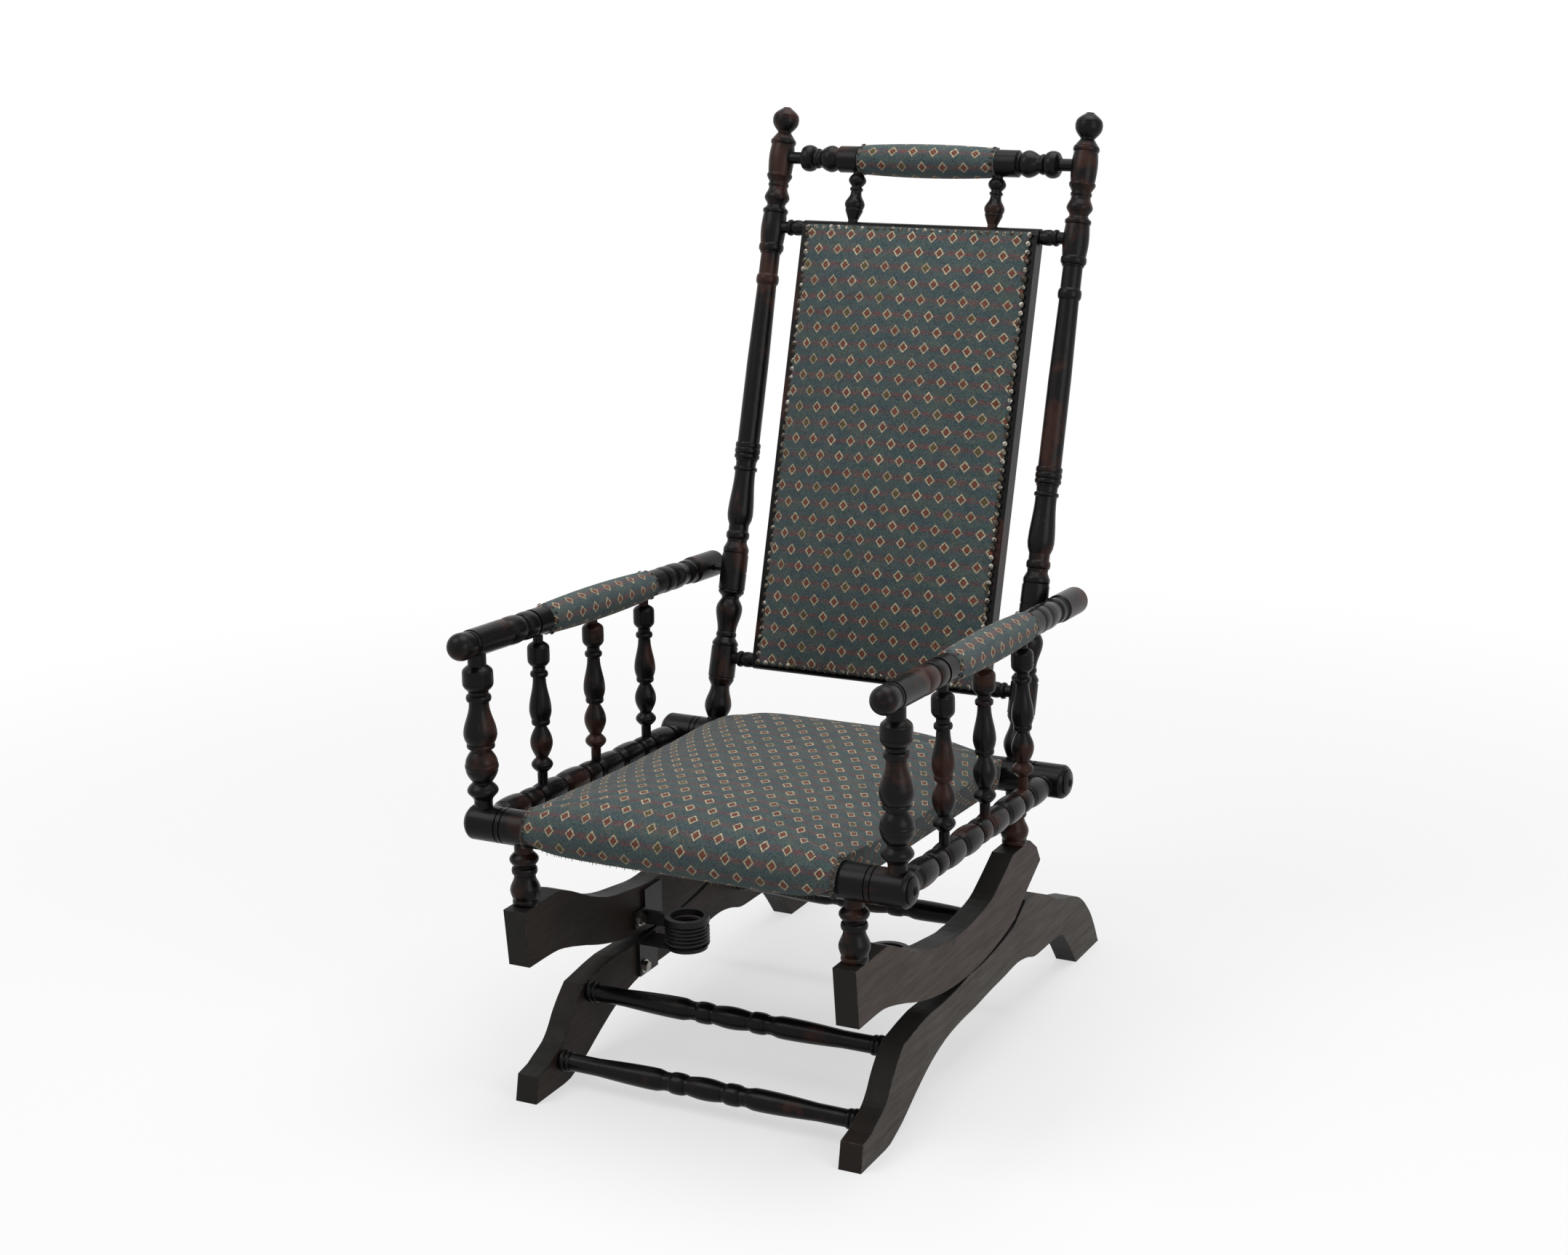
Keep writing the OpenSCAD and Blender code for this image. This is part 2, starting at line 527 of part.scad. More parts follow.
// The seat rails
module end_rail(a, b) {
  turned(a, b, both_ways(rail_end_shares), rail_r, 0, 0, rail_r);
}
module seat_rail_front() {
  color(wood_colour) difference() {
    end_rail(front_rail_point(-front_rail_len/2), front_rail_point(front_rail_len/2));
    for (side = [-1, 1]) {
      socket(leg_foot(side, 0), leg_head(side, 0), rail_tenon, leg_r*leg_tenon_share);
      socket(arm_post_head(side), arm_post_foot(side), small_tenon, arm_post_r*arm_post_neck_share);
      socket(side_rail_rear(side), side_rail_front(side), small_tenon, side_rail_r*side_rail_neck_share);
    }
  }
}
module seat_rail_rear() {
  color(wood_colour) difference() {
    end_rail(rear_rail_point(-rear_rail_len/2), rear_rail_point(rear_rail_len/2));
    for (side = [-1, 1]) {
      socket(leg_foot(side, 1), leg_head(side, 1), rail_tenon, leg_r*leg_tenon_share);
      socket(post_head(side), post_foot(side), rail_tenon, post_r*post_neck_share);
      socket(side_rail_front(side), side_rail_rear(side), small_tenon, side_rail_r*side_rail_neck_share);
    }
  }
}
function side_rail_front(side) =
  toward(side_rail_point(side, front_rail_y), side_rail_point(side, rear_rail_y), rail_r + side_rail_gap);
function side_rail_rear(side) =
  toward(side_rail_point(side, rear_rail_y), side_rail_point(side, front_rail_y), rail_r + side_rail_gap);
module seat_rail_side(side) {
  color(wood_colour) difference() {
    turned(side_rail_front(side), side_rail_rear(side), side_rail_shares, side_rail_r,
      small_tenon, small_tenon, side_rail_r*side_rail_neck_share);
    for (i = [1 : spindle_count])
      socket(spindle_head(side, i), spindle_foot(side, i), small_tenon, spindle_r*spindle_neck_share);
  }
}

// The arms and what carries them
arm_post_x = arm_front_spacing/2;
function arm_post_foot(side) = [side*arm_post_x, front_rail_y, front_rail_z + rail_r];
function arm_post_head(side) = arm_point(side, front_rail_y) - [0, 0, arm_r*arm_neck_share];
arm_neck_share = 0.86;
module arm_post(side) {
  color(wood_colour) turned(arm_post_foot(side), arm_post_head(side), arm_post_shares, arm_post_r,
    small_tenon, small_tenon, arm_post_r*arm_post_neck_share);
}
side_rail_top_share = 0.88;
function spindle_foot(side, i) =
  side_rail_point(side, spindle_y(i)) + [0, 0, side_rail_r*side_rail_top_share];
function spindle_head(side, i) = arm_point(side, spindle_y(i)) - [0, 0, arm_r*arm_neck_share];
module arm_spindle(side, i) {
  color(wood_colour) turned(spindle_foot(side, i), spindle_head(side, i), spindle_shares, spindle_r,
    small_tenon, small_tenon, spindle_r*spindle_neck_share);
}
module arm(side) {
  color(wood_colour) difference() {
    turned(arm_start(side), arm_end(side), arm_shares, arm_r, 0, 0, arm_r);
    socket(arm_post_foot(side), arm_post_head(side), small_tenon, arm_post_r*arm_post_neck_share);
    for (i = [1 : spindle_count])
      socket(spindle_foot(side, i), spindle_head(side, i), small_tenon, spindle_r*spindle_neck_share);
    dowel_hole(side);
  }
}
// The dowel that holds an arm to its back post, where the post's axis crosses the arm's height
dowel_r = 5;
dowel_end_share = 0.5;
dowel_y = rear_rail_y + (arm_rear_z - rear_rail_z)*tan(back_lean);
dowel_s = (arm_point(1, dowel_y)[2] - rear_rail_z)/cos(back_lean);
function dowel_post_point(side) = back_point(side_x(side, post_spacing), dowel_s);
function dowel_arm_point(side) = arm_point(side, dowel_post_point(side)[1]);
function dowel_from(side) = toward(dowel_post_point(side), dowel_arm_point(side), post_r*dowel_end_share);
function dowel_to(side) = toward(dowel_arm_point(side), dowel_post_point(side), arm_r*dowel_end_share/2);
module dowel_hole(side) {
  along(toward(dowel_from(side), dowel_to(side), -socket_end_gap), dowel_to(side))
    cylinder(r = dowel_r + socket_gap, h = norm(dowel_to(side) - dowel_from(side)) + socket_end_gap*2);
}
module arm_dowel(side) {
  color(wood_colour) along(dowel_from(side), dowel_to(side))
    cylinder(r = dowel_r, h = norm(dowel_to(side) - dowel_from(side)));
}

// A padded sleeve round a turned core, fuller in its middle
pad_steps = 14;
pad_end_share = 0.85;
pad_swell_power = 0.6;
pad_end_gap = 0.9;
module pad_sleeve(a, b, core_r, full_r) {
  length = norm(b - a);
  along(a, b) rotate_extrude() polygon(concat(
    [[core_r + face_gap, pad_end_gap], [core_r + face_gap, length - pad_end_gap]],
    [for (k = [pad_steps : -1 : 0])
      let (t = k/pad_steps)
      [full_r*mix(pad_end_share, 1, pow(sin(180*t), pad_swell_power)),
       mix(pad_end_gap, length - pad_end_gap, t)]]));
}
arm_axis_len = norm(arm_end(1) - arm_start(1));
function arm_along(side, share) = toward(arm_start(side), arm_end(side), arm_axis_len*share);
module arm_pad(side) {
  color(cloth_colour) difference() {
    pad_sleeve(arm_along(side, arm_pad_start_share), arm_along(side, arm_pad_end_share),
      arm_r*arm_core_share, arm_pad_r);
    for (i = [1 : spindle_count]) spindle_clearance(side, i);
  }
}
module spindle_clearance(side, i) {
  along(spindle_head(side, i) - [0, 0, arm_r], spindle_head(side, i))
    cylinder(r = spindle_r*spindle_neck_share + socket_gap*2, h = arm_r*1.5);
}

// The back posts
function post_foot(side) = back_point(side_x(side, post_spacing), rail_r);
function post_head(side) = back_point(side_x(side, post_spacing), post_len);
module back_post(side) {
  color(wood_colour) difference() {
    turned(post_foot(side), post_head(side), post_shares, post_r, rail_tenon, 0, post_r*post_neck_share);
    for (s = [back_bottom_s, back_top_s])
      socket(back_point(0, s), rail_end(side, s), small_tenon, back_rail_r*back_rail_neck_share);
    socket(back_point(0, crest_s), rail_end(side, crest_s), small_tenon, crest_r*crest_neck_share);
    dowel_hole(side);
  }
}
post_face_share = 0.84;
function rail_end(side, s) = back_point(side*(post_spacing/2 - post_r*post_face_share), s);

// The back frame
module back_rail(s) {
  turned(rail_end(-1, s), rail_end(1, s), both_ways(back_rail_half_shares), back_rail_r,
    small_tenon, small_tenon, back_rail_r*back_rail_neck_share);
}
crest_spindle_x = crest_spindle_spacing/2;
function crest_foot(side) = back_point(side*crest_spindle_x, back_top_s + back_rail_r);
function crest_head(side) = back_point(side*crest_spindle_x, crest_s - crest_r*crest_shoulder_share);
crest_tenon = 5;
module crest_spindle(side) {
  color(wood_colour) turned(crest_foot(side), crest_head(side), crest_spindle_shares, crest_spindle_r,
    crest_tenon, crest_tenon, crest_spindle_r*crest_spindle_neck_share);
}
module back_rail_top() {
  color(wood_colour) difference() {
    back_rail(back_top_s);
    for (side = [-1, 1])
      socket(crest_head(side), crest_foot(side), crest_tenon, crest_spindle_r*crest_spindle_neck_share);
  }
}
module back_rail_bottom() {
  color(wood_colour) back_rail(back_bottom_s);
}
stile_depth = back_rail_r*2;
stile_cope_gap = 0.1;
module back_stile(side) {
  color(wood_colour) difference() {
    on_back()
      translate([side*(stiles_w/2 - stile_w/2) - stile_w/2, -stile_depth/2, back_bottom_s])
        cube([stile_w, stile_depth, back_top_s - back_bottom_s]);
    for (s = [back_bottom_s, back_top_s])
      along(back_point(-stiles_w, s), back_point(stiles_w, s))
        cylinder(r = back_rail_r + stile_cope_gap, h = stiles_w*2);
  }
}
// The crest rail's core is as long as its pad
crest_pad_part = crest_pad_len/norm(rail_end(1, crest_s) - rail_end(-1, crest_s));
crest_core_len = total(crest_end_shares)*crest_pad_part/(1 - crest_pad_part);
crest_core = ["plain", crest_core_len, crest_core_share, crest_core_share];
crest_half_shares = concat(crest_end_shares, [crest_core]);
module crest_rail() {
  color(wood_colour) difference() {
    turned(rail_end(-1, crest_s), rail_end(1, crest_s), both_ways(crest_half_shares), crest_r,
      small_tenon, small_tenon, crest_r*crest_neck_share);
    for (side = [-1, 1])
      socket(crest_foot(side), crest_head(side), crest_tenon, crest_spindle_r*crest_spindle_neck_share);
  }
}
module crest_pad() {
  color(cloth_colour) difference() {
    pad_sleeve(back_point(-crest_pad_len/2, crest_s), back_point(crest_pad_len/2, crest_s),
      crest_r*crest_core_share, crest_pad_r);
    for (side = [-1, 1])
      along(crest_foot(side), toward(crest_head(side), crest_foot(side), -crest_r/2))
        cylinder(r = crest_spindle_r + socket_gap, h = crest_s - back_top_s - back_rail_r);
  }
}

// Closed skin between two grids of points with the same rows and columns
function grid_faces(rows, cols, flip) =
  [for (i = [0 : rows - 2]) for (j = [0 : cols - 2])
    let (a = i*cols + j, b = a + 1, c = a + cols, d = c + 1)
    each (flip ? [[a, b, c], [b, d, c]] : [[a, c, b], [b, c, d]])];
function rim(rows, cols) = concat(
  [for (j = [0 : cols - 2]) j], [for (i = [0 : rows - 2]) i*cols + cols - 1],
  [for (j = [cols - 1 : -1 : 1]) (rows - 1)*cols + j], [for (i = [rows - 1 : -1 : 1]) i*cols]);
module quilt(upper, lower, rows, cols) {
  n = rows*cols;
  edge = rim(rows, cols);
  polyhedron(
    points = concat(upper, lower),
    faces = concat(
      grid_faces(rows, cols, false),
      [for (f = grid_faces(rows, cols, true)) [for (i = f) i + n]],
      [for (k = [0 : len(edge) - 1])
        let (a = edge[k], b = edge[(k + 1) % len(edge)])
        each [[a, b, a + n], [b, b + n, a + n]]]));
}

// The seat: a crowned cushion whose cover runs down over the front rail
seat_rows = 21;
seat_cols = 17;
seat_roll_rows = 6;
seat_tuck_rows = 4;
seat_lip_angle = 55;
seat_rear_y = rear_rail_y - rail_r - face_gap;
// The share of the seat's depth over which it widens, and that over which it rises
seat_widen_share = 0.25;
seat_rise_share = 0.5;
seat_draw_share = 0.98;
seat_fill_share = 0.5;
seat_sag = 7;
// How sharply the crown falls at the sides and the rear, and how the front lip turns up at its corners
seat_side_power = 5;
seat_drop_power = 24;
seat_corner_power = 6;
roll_step = (90 + seat_lip_angle)/seat_roll_rows;
cover_gap = 0.5;
roll_r = (rail_r + cover_gap)/cos(roll_step/2);
function seat_edge(u) = 1 - pow(abs(u), seat_side_power);
function seat_half_w(v) = mix(seat_front_w, seat_rear_w, ease(min(1, v/seat_widen_share)))/2;
function seat_edge_z(v) =
  mix(front_rail_z + roll_r + cover_thick, rear_rail_z + rail_r + seat_rear_rise, v) - seat_sag*sin(180*v);
function seat_crown_share(v) = rise(min(1, v/seat_rise_share))*(1 - pow(v, seat_drop_power));
function roll_angle(i, u) = mix(-seat_lip_angle*(1 - pow(abs(u), seat_corner_power)), 90, i/seat_roll_rows);
function on_roll(x, r, a) = [x, front_rail_y - r*cos(a), front_rail_z + r*sin(a)];
function seat_upper(i, u) =
  i <= seat_roll_rows
    ? on_roll(seat_half_w(0)*u,
        roll_r + cover_thick*(1 + seat_edge(u)*seat_fill_share*i/seat_roll_rows), roll_angle(i, u))
    : let (v = ease((i - seat_roll_rows)/(seat_rows - 1 - seat_roll_rows)))
      [seat_half_w(v)*u, mix(front_rail_y, seat_rear_y, v),
       seat_edge_z(v) + seat_edge(u)*(cover_thick*seat_fill_share*(1 - v) + seat_crown*seat_crown_share(v))];
function seat_lower(i, u) =
  let (tuck = i - seat_roll_rows)
  tuck <= 0 ? on_roll(seat_half_w(0)*u, roll_r, roll_angle(i, u)) :
  tuck <= seat_tuck_rows ? on_roll(seat_half_w(0)*u, roll_r, 90 + 90*tuck/seat_tuck_rows) :
  let (v = (tuck - seat_tuck_rows - 1)/(seat_rows - seat_roll_rows - seat_tuck_rows - 2),
    y = mix(front_rail_y + roll_r, seat_rear_y, v))
  [seat_half_w(v)*u*seat_draw_share, y, frame_z(y) + roll_r - seat_depth];
module seat_cushion() {
  across = [for (j = [0 : seat_cols - 1]) rise(2*j/(seat_cols - 1) - 1)];
  upper = [for (i = [0 : seat_rows - 1]) for (u = across) seat_upper(i, u)];
  lower = [for (i = [0 : seat_rows - 1]) for (u = across) seat_lower(i, u)];
  color(cloth_colour) quilt(upper, lower, seat_rows, seat_cols);
}

// Straps under the seat, from the front rail to the rear rail
strap_count = 5;
strap_w = 44;
strap_thick = 1.6;
module seat_webbing() {
  pitch = seat_front_w/strap_count;
  color(jute_colour)
    for (k = [0 : strap_count - 1]) translate([(k - (strap_count - 1)/2)*pitch, 0, 0]) strap();
}
module strap() {
  slope = atan2(rear_rail_z - front_rail_z, rear_rail_y - front_rail_y);
  span = norm([rear_rail_y - front_rail_y, rear_rail_z - front_rail_z]);
  top = roll_r - seat_depth - face_gap;
  end = sqrt(pow(rail_r, 2) - pow(top, 2)) + face_gap;
  translate([-strap_w/2, front_rail_y, front_rail_z]) rotate([slope, 0, 0])
    translate([0, end, top - strap_thick]) cube([strap_w, span - 2*end, strap_thick]);
}

// The back pad: nailed round its edge and crowned, ahead of the back frame
back_rows = 15;
back_cols = 13;
pad_reach = 4;
pad_edge_gap = 9;
back_pad_off = back_rail_r + face_gap;
back_pad_w = stiles_w - 2*pad_edge_gap;
pad_flat_power = 3.2;
pad_round_power = 0.8;
function pad_share(t) = pow(max(0, 1 - pow(abs(2*t - 1), pad_flat_power)), pad_round_power);
function back_pad_point(i, j, thick) =
  let (u = j/(back_cols - 1), v = i/(back_rows - 1))
  back_point(back_pad_w*(u - 0.5), mix(back_bottom_s - pad_reach, back_top_s + pad_reach, v),
    back_pad_off + (thick ? back_edge_thick + back_crown*pad_share(u)*pad_share(v) : 0));
module back_pad() {
  upper = [for (i = [0 : back_rows - 1]) for (j = [0 : back_cols - 1]) back_pad_point(i, j, true)];
  lower = [for (i = [0 : back_rows - 1]) for (j = [0 : back_cols - 1]) back_pad_point(i, j, false)];
  color(cloth_colour) quilt(upper, lower, back_rows, back_cols);
}

// The cloth over the back of the back frame
rear_cover_thick = 2;
module back_cover() {
  color(cloth_colour) on_back()
    translate([-back_pad_w/2, back_pad_off, back_bottom_s - pad_reach])
      cube([back_pad_w, rear_cover_thick, back_top_s - back_bottom_s + 2*pad_reach]);
}

// The spring brackets and their bolts
module spring_bracket_lower(side) {
  color(iron_colour) difference() {
    union() {
      face_plate(side, coil_y - bracket_w/2, bracket_w, lower_bolt_z - bracket_margin, coil_foot_z);
      translate([side*coil_side_x, coil_y, lower_seat_z]) cylinder(r = lower_plate_r, h = iron_thick);
      bracket_arm(side, coil_y, lower_arm_w, lower_seat_z, iron_thick, coil_reach);
    }
    bracket_hole(side, lower_bolt_y, lower_bolt_z);
  }
}
module spring_bracket_upper(side) {
  low = upper_bolt_z - bracket_margin;
  arm_y = coil_y - arm_bar_ahead;
  arm_top = upper_seat_z + ring_h;
  color(iron_colour) difference() {
    union() {
      face_plate(side, upper_bolt_y - bracket_margin, bracket_w, low, upper_bolt_z + bracket_margin);
      face_plate(side, arm_y, tongue_w, low, upper_bolt_z + tongue_rise);
      bracket_arm(side, arm_y, arm_bar_w, arm_top - arm_bar_h, arm_bar_h, coil_reach - coil_r - coil_gap);
      bracket_arm(side, arm_y, arm_bar_w, upper_seat_z, ring_h, coil_reach - coil_r + ring_wall/2);
      coil_ring_clamp(side);
    }
    bracket_hole(side, upper_bolt_y, upper_bolt_z);
  }
}
module coil_ring_clamp(side) {
  translate([side*coil_side_x, coil_y, upper_seat_z]) difference() {
    cylinder(r = coil_r, h = ring_h);
    translate([0, 0, -overrun]) cylinder(r = coil_r - ring_wall, h = ring_h + 2*overrun);
  }
}
// A plate on a board's inner face
module face_plate(side, front, width, low, high) {
  translate([side > 0 ? board_inner_x - iron_thick - face_gap : -board_inner_x + face_gap, front, low])
    cube([iron_thick, width, high - low]);
}
// A bar from the plate inward to the coil
module bracket_arm(side, y, width, z, height, reach) {
  translate([side > 0 ? board_inner_x - reach : -board_inner_x + face_gap, y - width/2, z])
    cube([reach - face_gap, width, height]);
}
module bracket_hole(side, y, z) {
  along([side*(board_inner_x - 2*iron_thick), y, z], [side*(board_inner_x + overrun), y, z])
    cylinder(r = bolt_r + bracket_hole_gap, h = 3*iron_thick);
}
module spring_bolt(side, y, z) {
  inner = board_inner_x - face_gap - iron_thick - face_gap;
  color(steel_colour) along([side*inner, y, z], [0, y, z]) {
    cylinder(r = washer_r, h = washer_h);
    translate([0, 0, washer_h]) cylinder(r = bolt_head_r, h = bolt_head_h, $fn = 6);
    translate([0, 0, -bolt_len - face_gap]) cylinder(r = bolt_r, h = bolt_len + washer_h);
  }
}

// The coil springs: one unbroken tube of six sides
rings_per_curl = 8;
wire_sides = 6;
coil_rings = coil_curls*rings_per_curl;
coil_path_r = coil_r - wire_d/2;
wire_half_h = wire_d/2*sin(60);
coil_rise = coil_h - 2*wire_half_h - 2*coil_gap;
function coil_turn(i) = 360*i/rings_per_curl;
coil_start = [0, 0, wire_half_h + coil_gap];
function coil_centre(i) =
  coil_start + [cos(coil_turn(i)), sin(coil_turn(i)), 0]*coil_path_r + [0, 0, coil_rise]*i/coil_rings;
function coil_ring(i) =
  let (out = [cos(coil_turn(i)), sin(coil_turn(i)), 0])
  [for (k = [0 : wire_sides - 1])
    let (a = 360*k/wire_sides)
    coil_centre(i) + out*cos(a)*wire_d/2 + [0, 0, sin(a)]*wire_d/2];
coil_tail = [0, 1, 0]*wire_d;
coil_points = concat(
  [for (p = coil_ring(0)) p - coil_tail],
  [for (i = [0 : coil_rings]) each coil_ring(i)],
  [for (p = coil_ring(coil_rings)) p + coil_tail]);
coil_sections = coil_rings + 3;
coil_faces = concat(
  [for (k = [1 : wire_sides - 2]) [0, k + 1, k]],
  [for (i = [0 : coil_sections - 2]) for (k = [0 : wire_sides - 1])
    let (a = i*wire_sides + k, b = i*wire_sides + (k + 1) % wire_sides)
    each [[a, b, a + wire_sides], [b, b + wire_sides, a + wire_sides]]],
  [for (k = [1 : wire_sides - 2]) let (n = (coil_sections - 1)*wire_sides) [n, n + k, n + k + 1]]);
module spring_coil(side) {
  color(iron_colour) translate([side*coil_side_x, coil_y, coil_foot_z]) polyhedron(coil_points, coil_faces);
}
least_coil_gap = min([
  for (i = [0 : coil_rings - rings_per_curl])
    for (j = [i + rings_per_curl - 1 : min(i + rings_per_curl + 1, coil_rings)])
      for (p = coil_ring(i))
        for (q = coil_ring(j)) norm(p - q)]);
echo(least_coil_gap = least_coil_gap);

// What each name draws
base_side(-1);  // base_side_left
base_side(1);  // base_side_right
stretcher(0);  // stretcher_upper
stretcher(1);  // stretcher_lower
stretcher(2);  // stretcher_rear
spring_bracket_lower(-1);  // spring_bracket_lower_left
spring_bracket_lower(1);  // spring_bracket_lower_right
spring_bolt(-1, lower_bolt_y, lower_bolt_z);  // spring_bolt_lower_left
spring_bolt(1, lower_bolt_y, lower_bolt_z);  // spring_bolt_lower_right
rocker_side(-1);  // rocker_side_left
rocker_side(1);  // rocker_side_right
leg(-1, 0);  // leg_front_left
leg(1, 0);  // leg_front_right
leg(-1, 1);  // leg_rear_left
leg(1, 1);  // leg_rear_right
seat_rail_front();
seat_rail_rear();
seat_rail_side(-1);  // seat_rail_left
seat_rail_side(1);  // seat_rail_right
arm_post(-1);  // arm_post_left
arm_post(1);  // arm_post_right
arm_spindle(-1, 1);  // arm_spindle_left_1
arm_spindle(-1, 2);  // arm_spindle_left_2
arm_spindle(-1, 3);  // arm_spindle_left_3
arm_spindle(1, 1);  // arm_spindle_right_1
arm_spindle(1, 2);  // arm_spindle_right_2
arm_spindle(1, 3);  // arm_spindle_right_3
arm(-1);  // arm_left
arm(1);  // arm_right
arm_dowel(-1);  // arm_dowel_left
arm_dowel(1);  // arm_dowel_right
arm_pad(-1);  // arm_pad_left
arm_pad(1);  // arm_pad_right
back_post(-1);  // back_post_left
back_post(1);  // back_post_right
back_rail_top();
back_rail_bottom();
back_stile(-1);  // back_stile_left
back_stile(1);  // back_stile_right
back_pad();
back_cover();
crest_rail();
crest_pad();
crest_spindle(-1);  // crest_spindle_left
crest_spindle(1);  // crest_spindle_right
seat_cushion();
seat_webbing();
spring_bracket_upper(-1);  // spring_bracket_upper_left
spring_bracket_upper(1);  // spring_bracket_upper_right
spring_bolt(-1, upper_bolt_y, upper_bolt_z);  // spring_bolt_upper_left
spring_bolt(1, upper_bolt_y, upper_bolt_z);  // spring_bolt_upper_right
spring_coil(-1);  // spring_coil_left
spring_coil(1);  // spring_coil_right
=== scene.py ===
import math
import random

import bmesh
import bpy
from mathutils import Matrix, Vector


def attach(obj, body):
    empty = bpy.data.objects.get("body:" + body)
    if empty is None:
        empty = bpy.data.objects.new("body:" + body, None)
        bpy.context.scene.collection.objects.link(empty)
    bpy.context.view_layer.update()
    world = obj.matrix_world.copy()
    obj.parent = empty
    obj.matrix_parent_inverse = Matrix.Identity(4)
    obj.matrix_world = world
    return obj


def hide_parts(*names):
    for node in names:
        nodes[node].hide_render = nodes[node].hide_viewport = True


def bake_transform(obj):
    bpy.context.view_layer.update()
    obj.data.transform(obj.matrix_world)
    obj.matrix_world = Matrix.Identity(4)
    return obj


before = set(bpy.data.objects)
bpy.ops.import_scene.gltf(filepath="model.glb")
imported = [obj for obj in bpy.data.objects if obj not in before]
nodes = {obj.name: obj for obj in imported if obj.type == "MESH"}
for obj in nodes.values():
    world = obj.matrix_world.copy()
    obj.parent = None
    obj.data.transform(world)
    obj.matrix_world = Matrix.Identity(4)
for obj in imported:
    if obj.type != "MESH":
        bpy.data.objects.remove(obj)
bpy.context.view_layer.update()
mm = 0.001
print("frame loaded:", len(nodes), "solids")

# places on the chair, in millimetres

chair = {
    "rearRail": (119.5, 314.0),      # y and z of its axis
    "frontRail": (-343.0, 334.0),
    "railRadius": 21.0,
    "lean": math.radians(17.1),
    "backBottom": 101.7,             # up the posts from the rear rail
    "backTop": 664.6,
    "crest": 755.6,
}
leanUp = Vector((0, math.sin(chair["lean"]), math.cos(chair["lean"])))
leanAhead = Vector((0, -math.cos(chair["lean"]), math.sin(chair["lean"])))


def backPlace(x, up, ahead=0.0):
    return (Vector((x, *chair["rearRail"])) + leanUp * up + leanAhead * ahead) * mm


def blendOf(a, b, share):
    return a + (b - a) * share


def easeOf(share):
    return (1 - math.cos(math.pi * share)) / 2


# node helpers

building = {"tree": None}            # the node tree that the helpers add to


def startTree(owner):
    owner.use_nodes = True
    owner.node_tree.nodes.clear()
    building["tree"] = owner.node_tree
    return owner


def startMaterial(name):
    return startTree(bpy.data.materials.new(name))


def feed(socket, value):
    if isinstance(value, bpy.types.NodeSocket):
        building["tree"].links.new(value, socket)
    else:
        socket.default_value = value


def addNode(kind, inputs=None, **fields):
    node = building["tree"].nodes.new("ShaderNode" + kind)
    for field, value in fields.items():
        setattr(node, field, value)
    for name, value in (inputs or {}).items():
        feed(node.inputs[name], value)
    return node


def calc(operation, *values):
    node = addNode("Math", operation=operation)
    for socket, value in zip(node.inputs, values):
        feed(socket, value)
    return node.outputs[0]


def times(first, *others):
    for other in others:
        first = calc("MULTIPLY", first, other)
    return first


def plus(first, second):
    return calc("ADD", first, second)


def waveOf(value, pitch):
    return calc("SINE", times(value, 2 * math.pi / pitch))


def splitUp(vector):
    return addNode("SeparateXYZ", {"Vector": vector}).outputs


def joined(x, y, z):
    return addNode("CombineXYZ", {"X": x, "Y": y, "Z": z}).outputs[0]


def greyOf(value):
    return addNode("CombineColor", {"Red": value, "Green": value, "Blue": value}).outputs[0]


def luckAt(x, y, z):
    # one number from 0 to 1 for each place
    return addNode("TexWhiteNoise", {"Vector": joined(x, y, z)}, noise_dimensions="3D").outputs["Value"]


def mixColour(share, first, second, how="MIX"):
    node = addNode("Mix", data_type="RGBA", blend_type=how)
    for index, value in ((0, share), (6, first), (7, second)):
        feed(node.inputs[index], value)
    return node.outputs[2]


def remap(value, low, high, toLow=0.0, toHigh=1.0, smooth=False):
    node = addNode("MapRange", {"Value": value, "From Min": low, "From Max": high, "To Min": toLow,
                                "To Max": toHigh})
    node.interpolation_type = "SMOOTHSTEP" if smooth else "LINEAR"
    return node.outputs[0]


def noiseAt(place, scale, detail, rough, warp=0.0):
    node = addNode("TexNoise", {"Vector": place, "Scale": scale, "Detail": detail, "Roughness": rough,
                                "Distortion": warp})
    return node.outputs["Fac"]


def stretched(scales):
    place = addNode("TexCoord").outputs["Object"]
    return addNode("Mapping", {"Vector": place, "Scale": scales}).outputs[0]


def finishMaterial(colour, rough, normal, **fixed):
    shader = addNode("BsdfPrincipled", {"Base Color": colour, "Roughness": rough, "Normal": normal})
    for name, value in fixed.items():
        shader.inputs[name.replace("_", " ")].default_value = value
    addNode("OutputMaterial", {"Surface": shader.outputs[0]})


def bumpFrom(height, distance, strength, under=None):
    node = addNode("Bump", {"Height": height, "Distance": distance, "Strength": strength})
    if under is not None:
        feed(node.inputs["Normal"], under)
    return node.outputs[0]


# wood

turnedWood = {
    "black": (0.0052, 0.0048, 0.0050, 1),
    "brown": (0.036, 0.0150, 0.0105, 1),
    "worn": (0.075, 0.052, 0.040, 1),
    "rough": (0.20, 0.38),
    "gloss": 0.12,
}
# the scale across and along the grain, for pieces that stand, lie across the chair or run front to back
grainScales = {"upright": (90, 90, 9), "across": (9, 90, 90), "along": (90, 9, 90)}


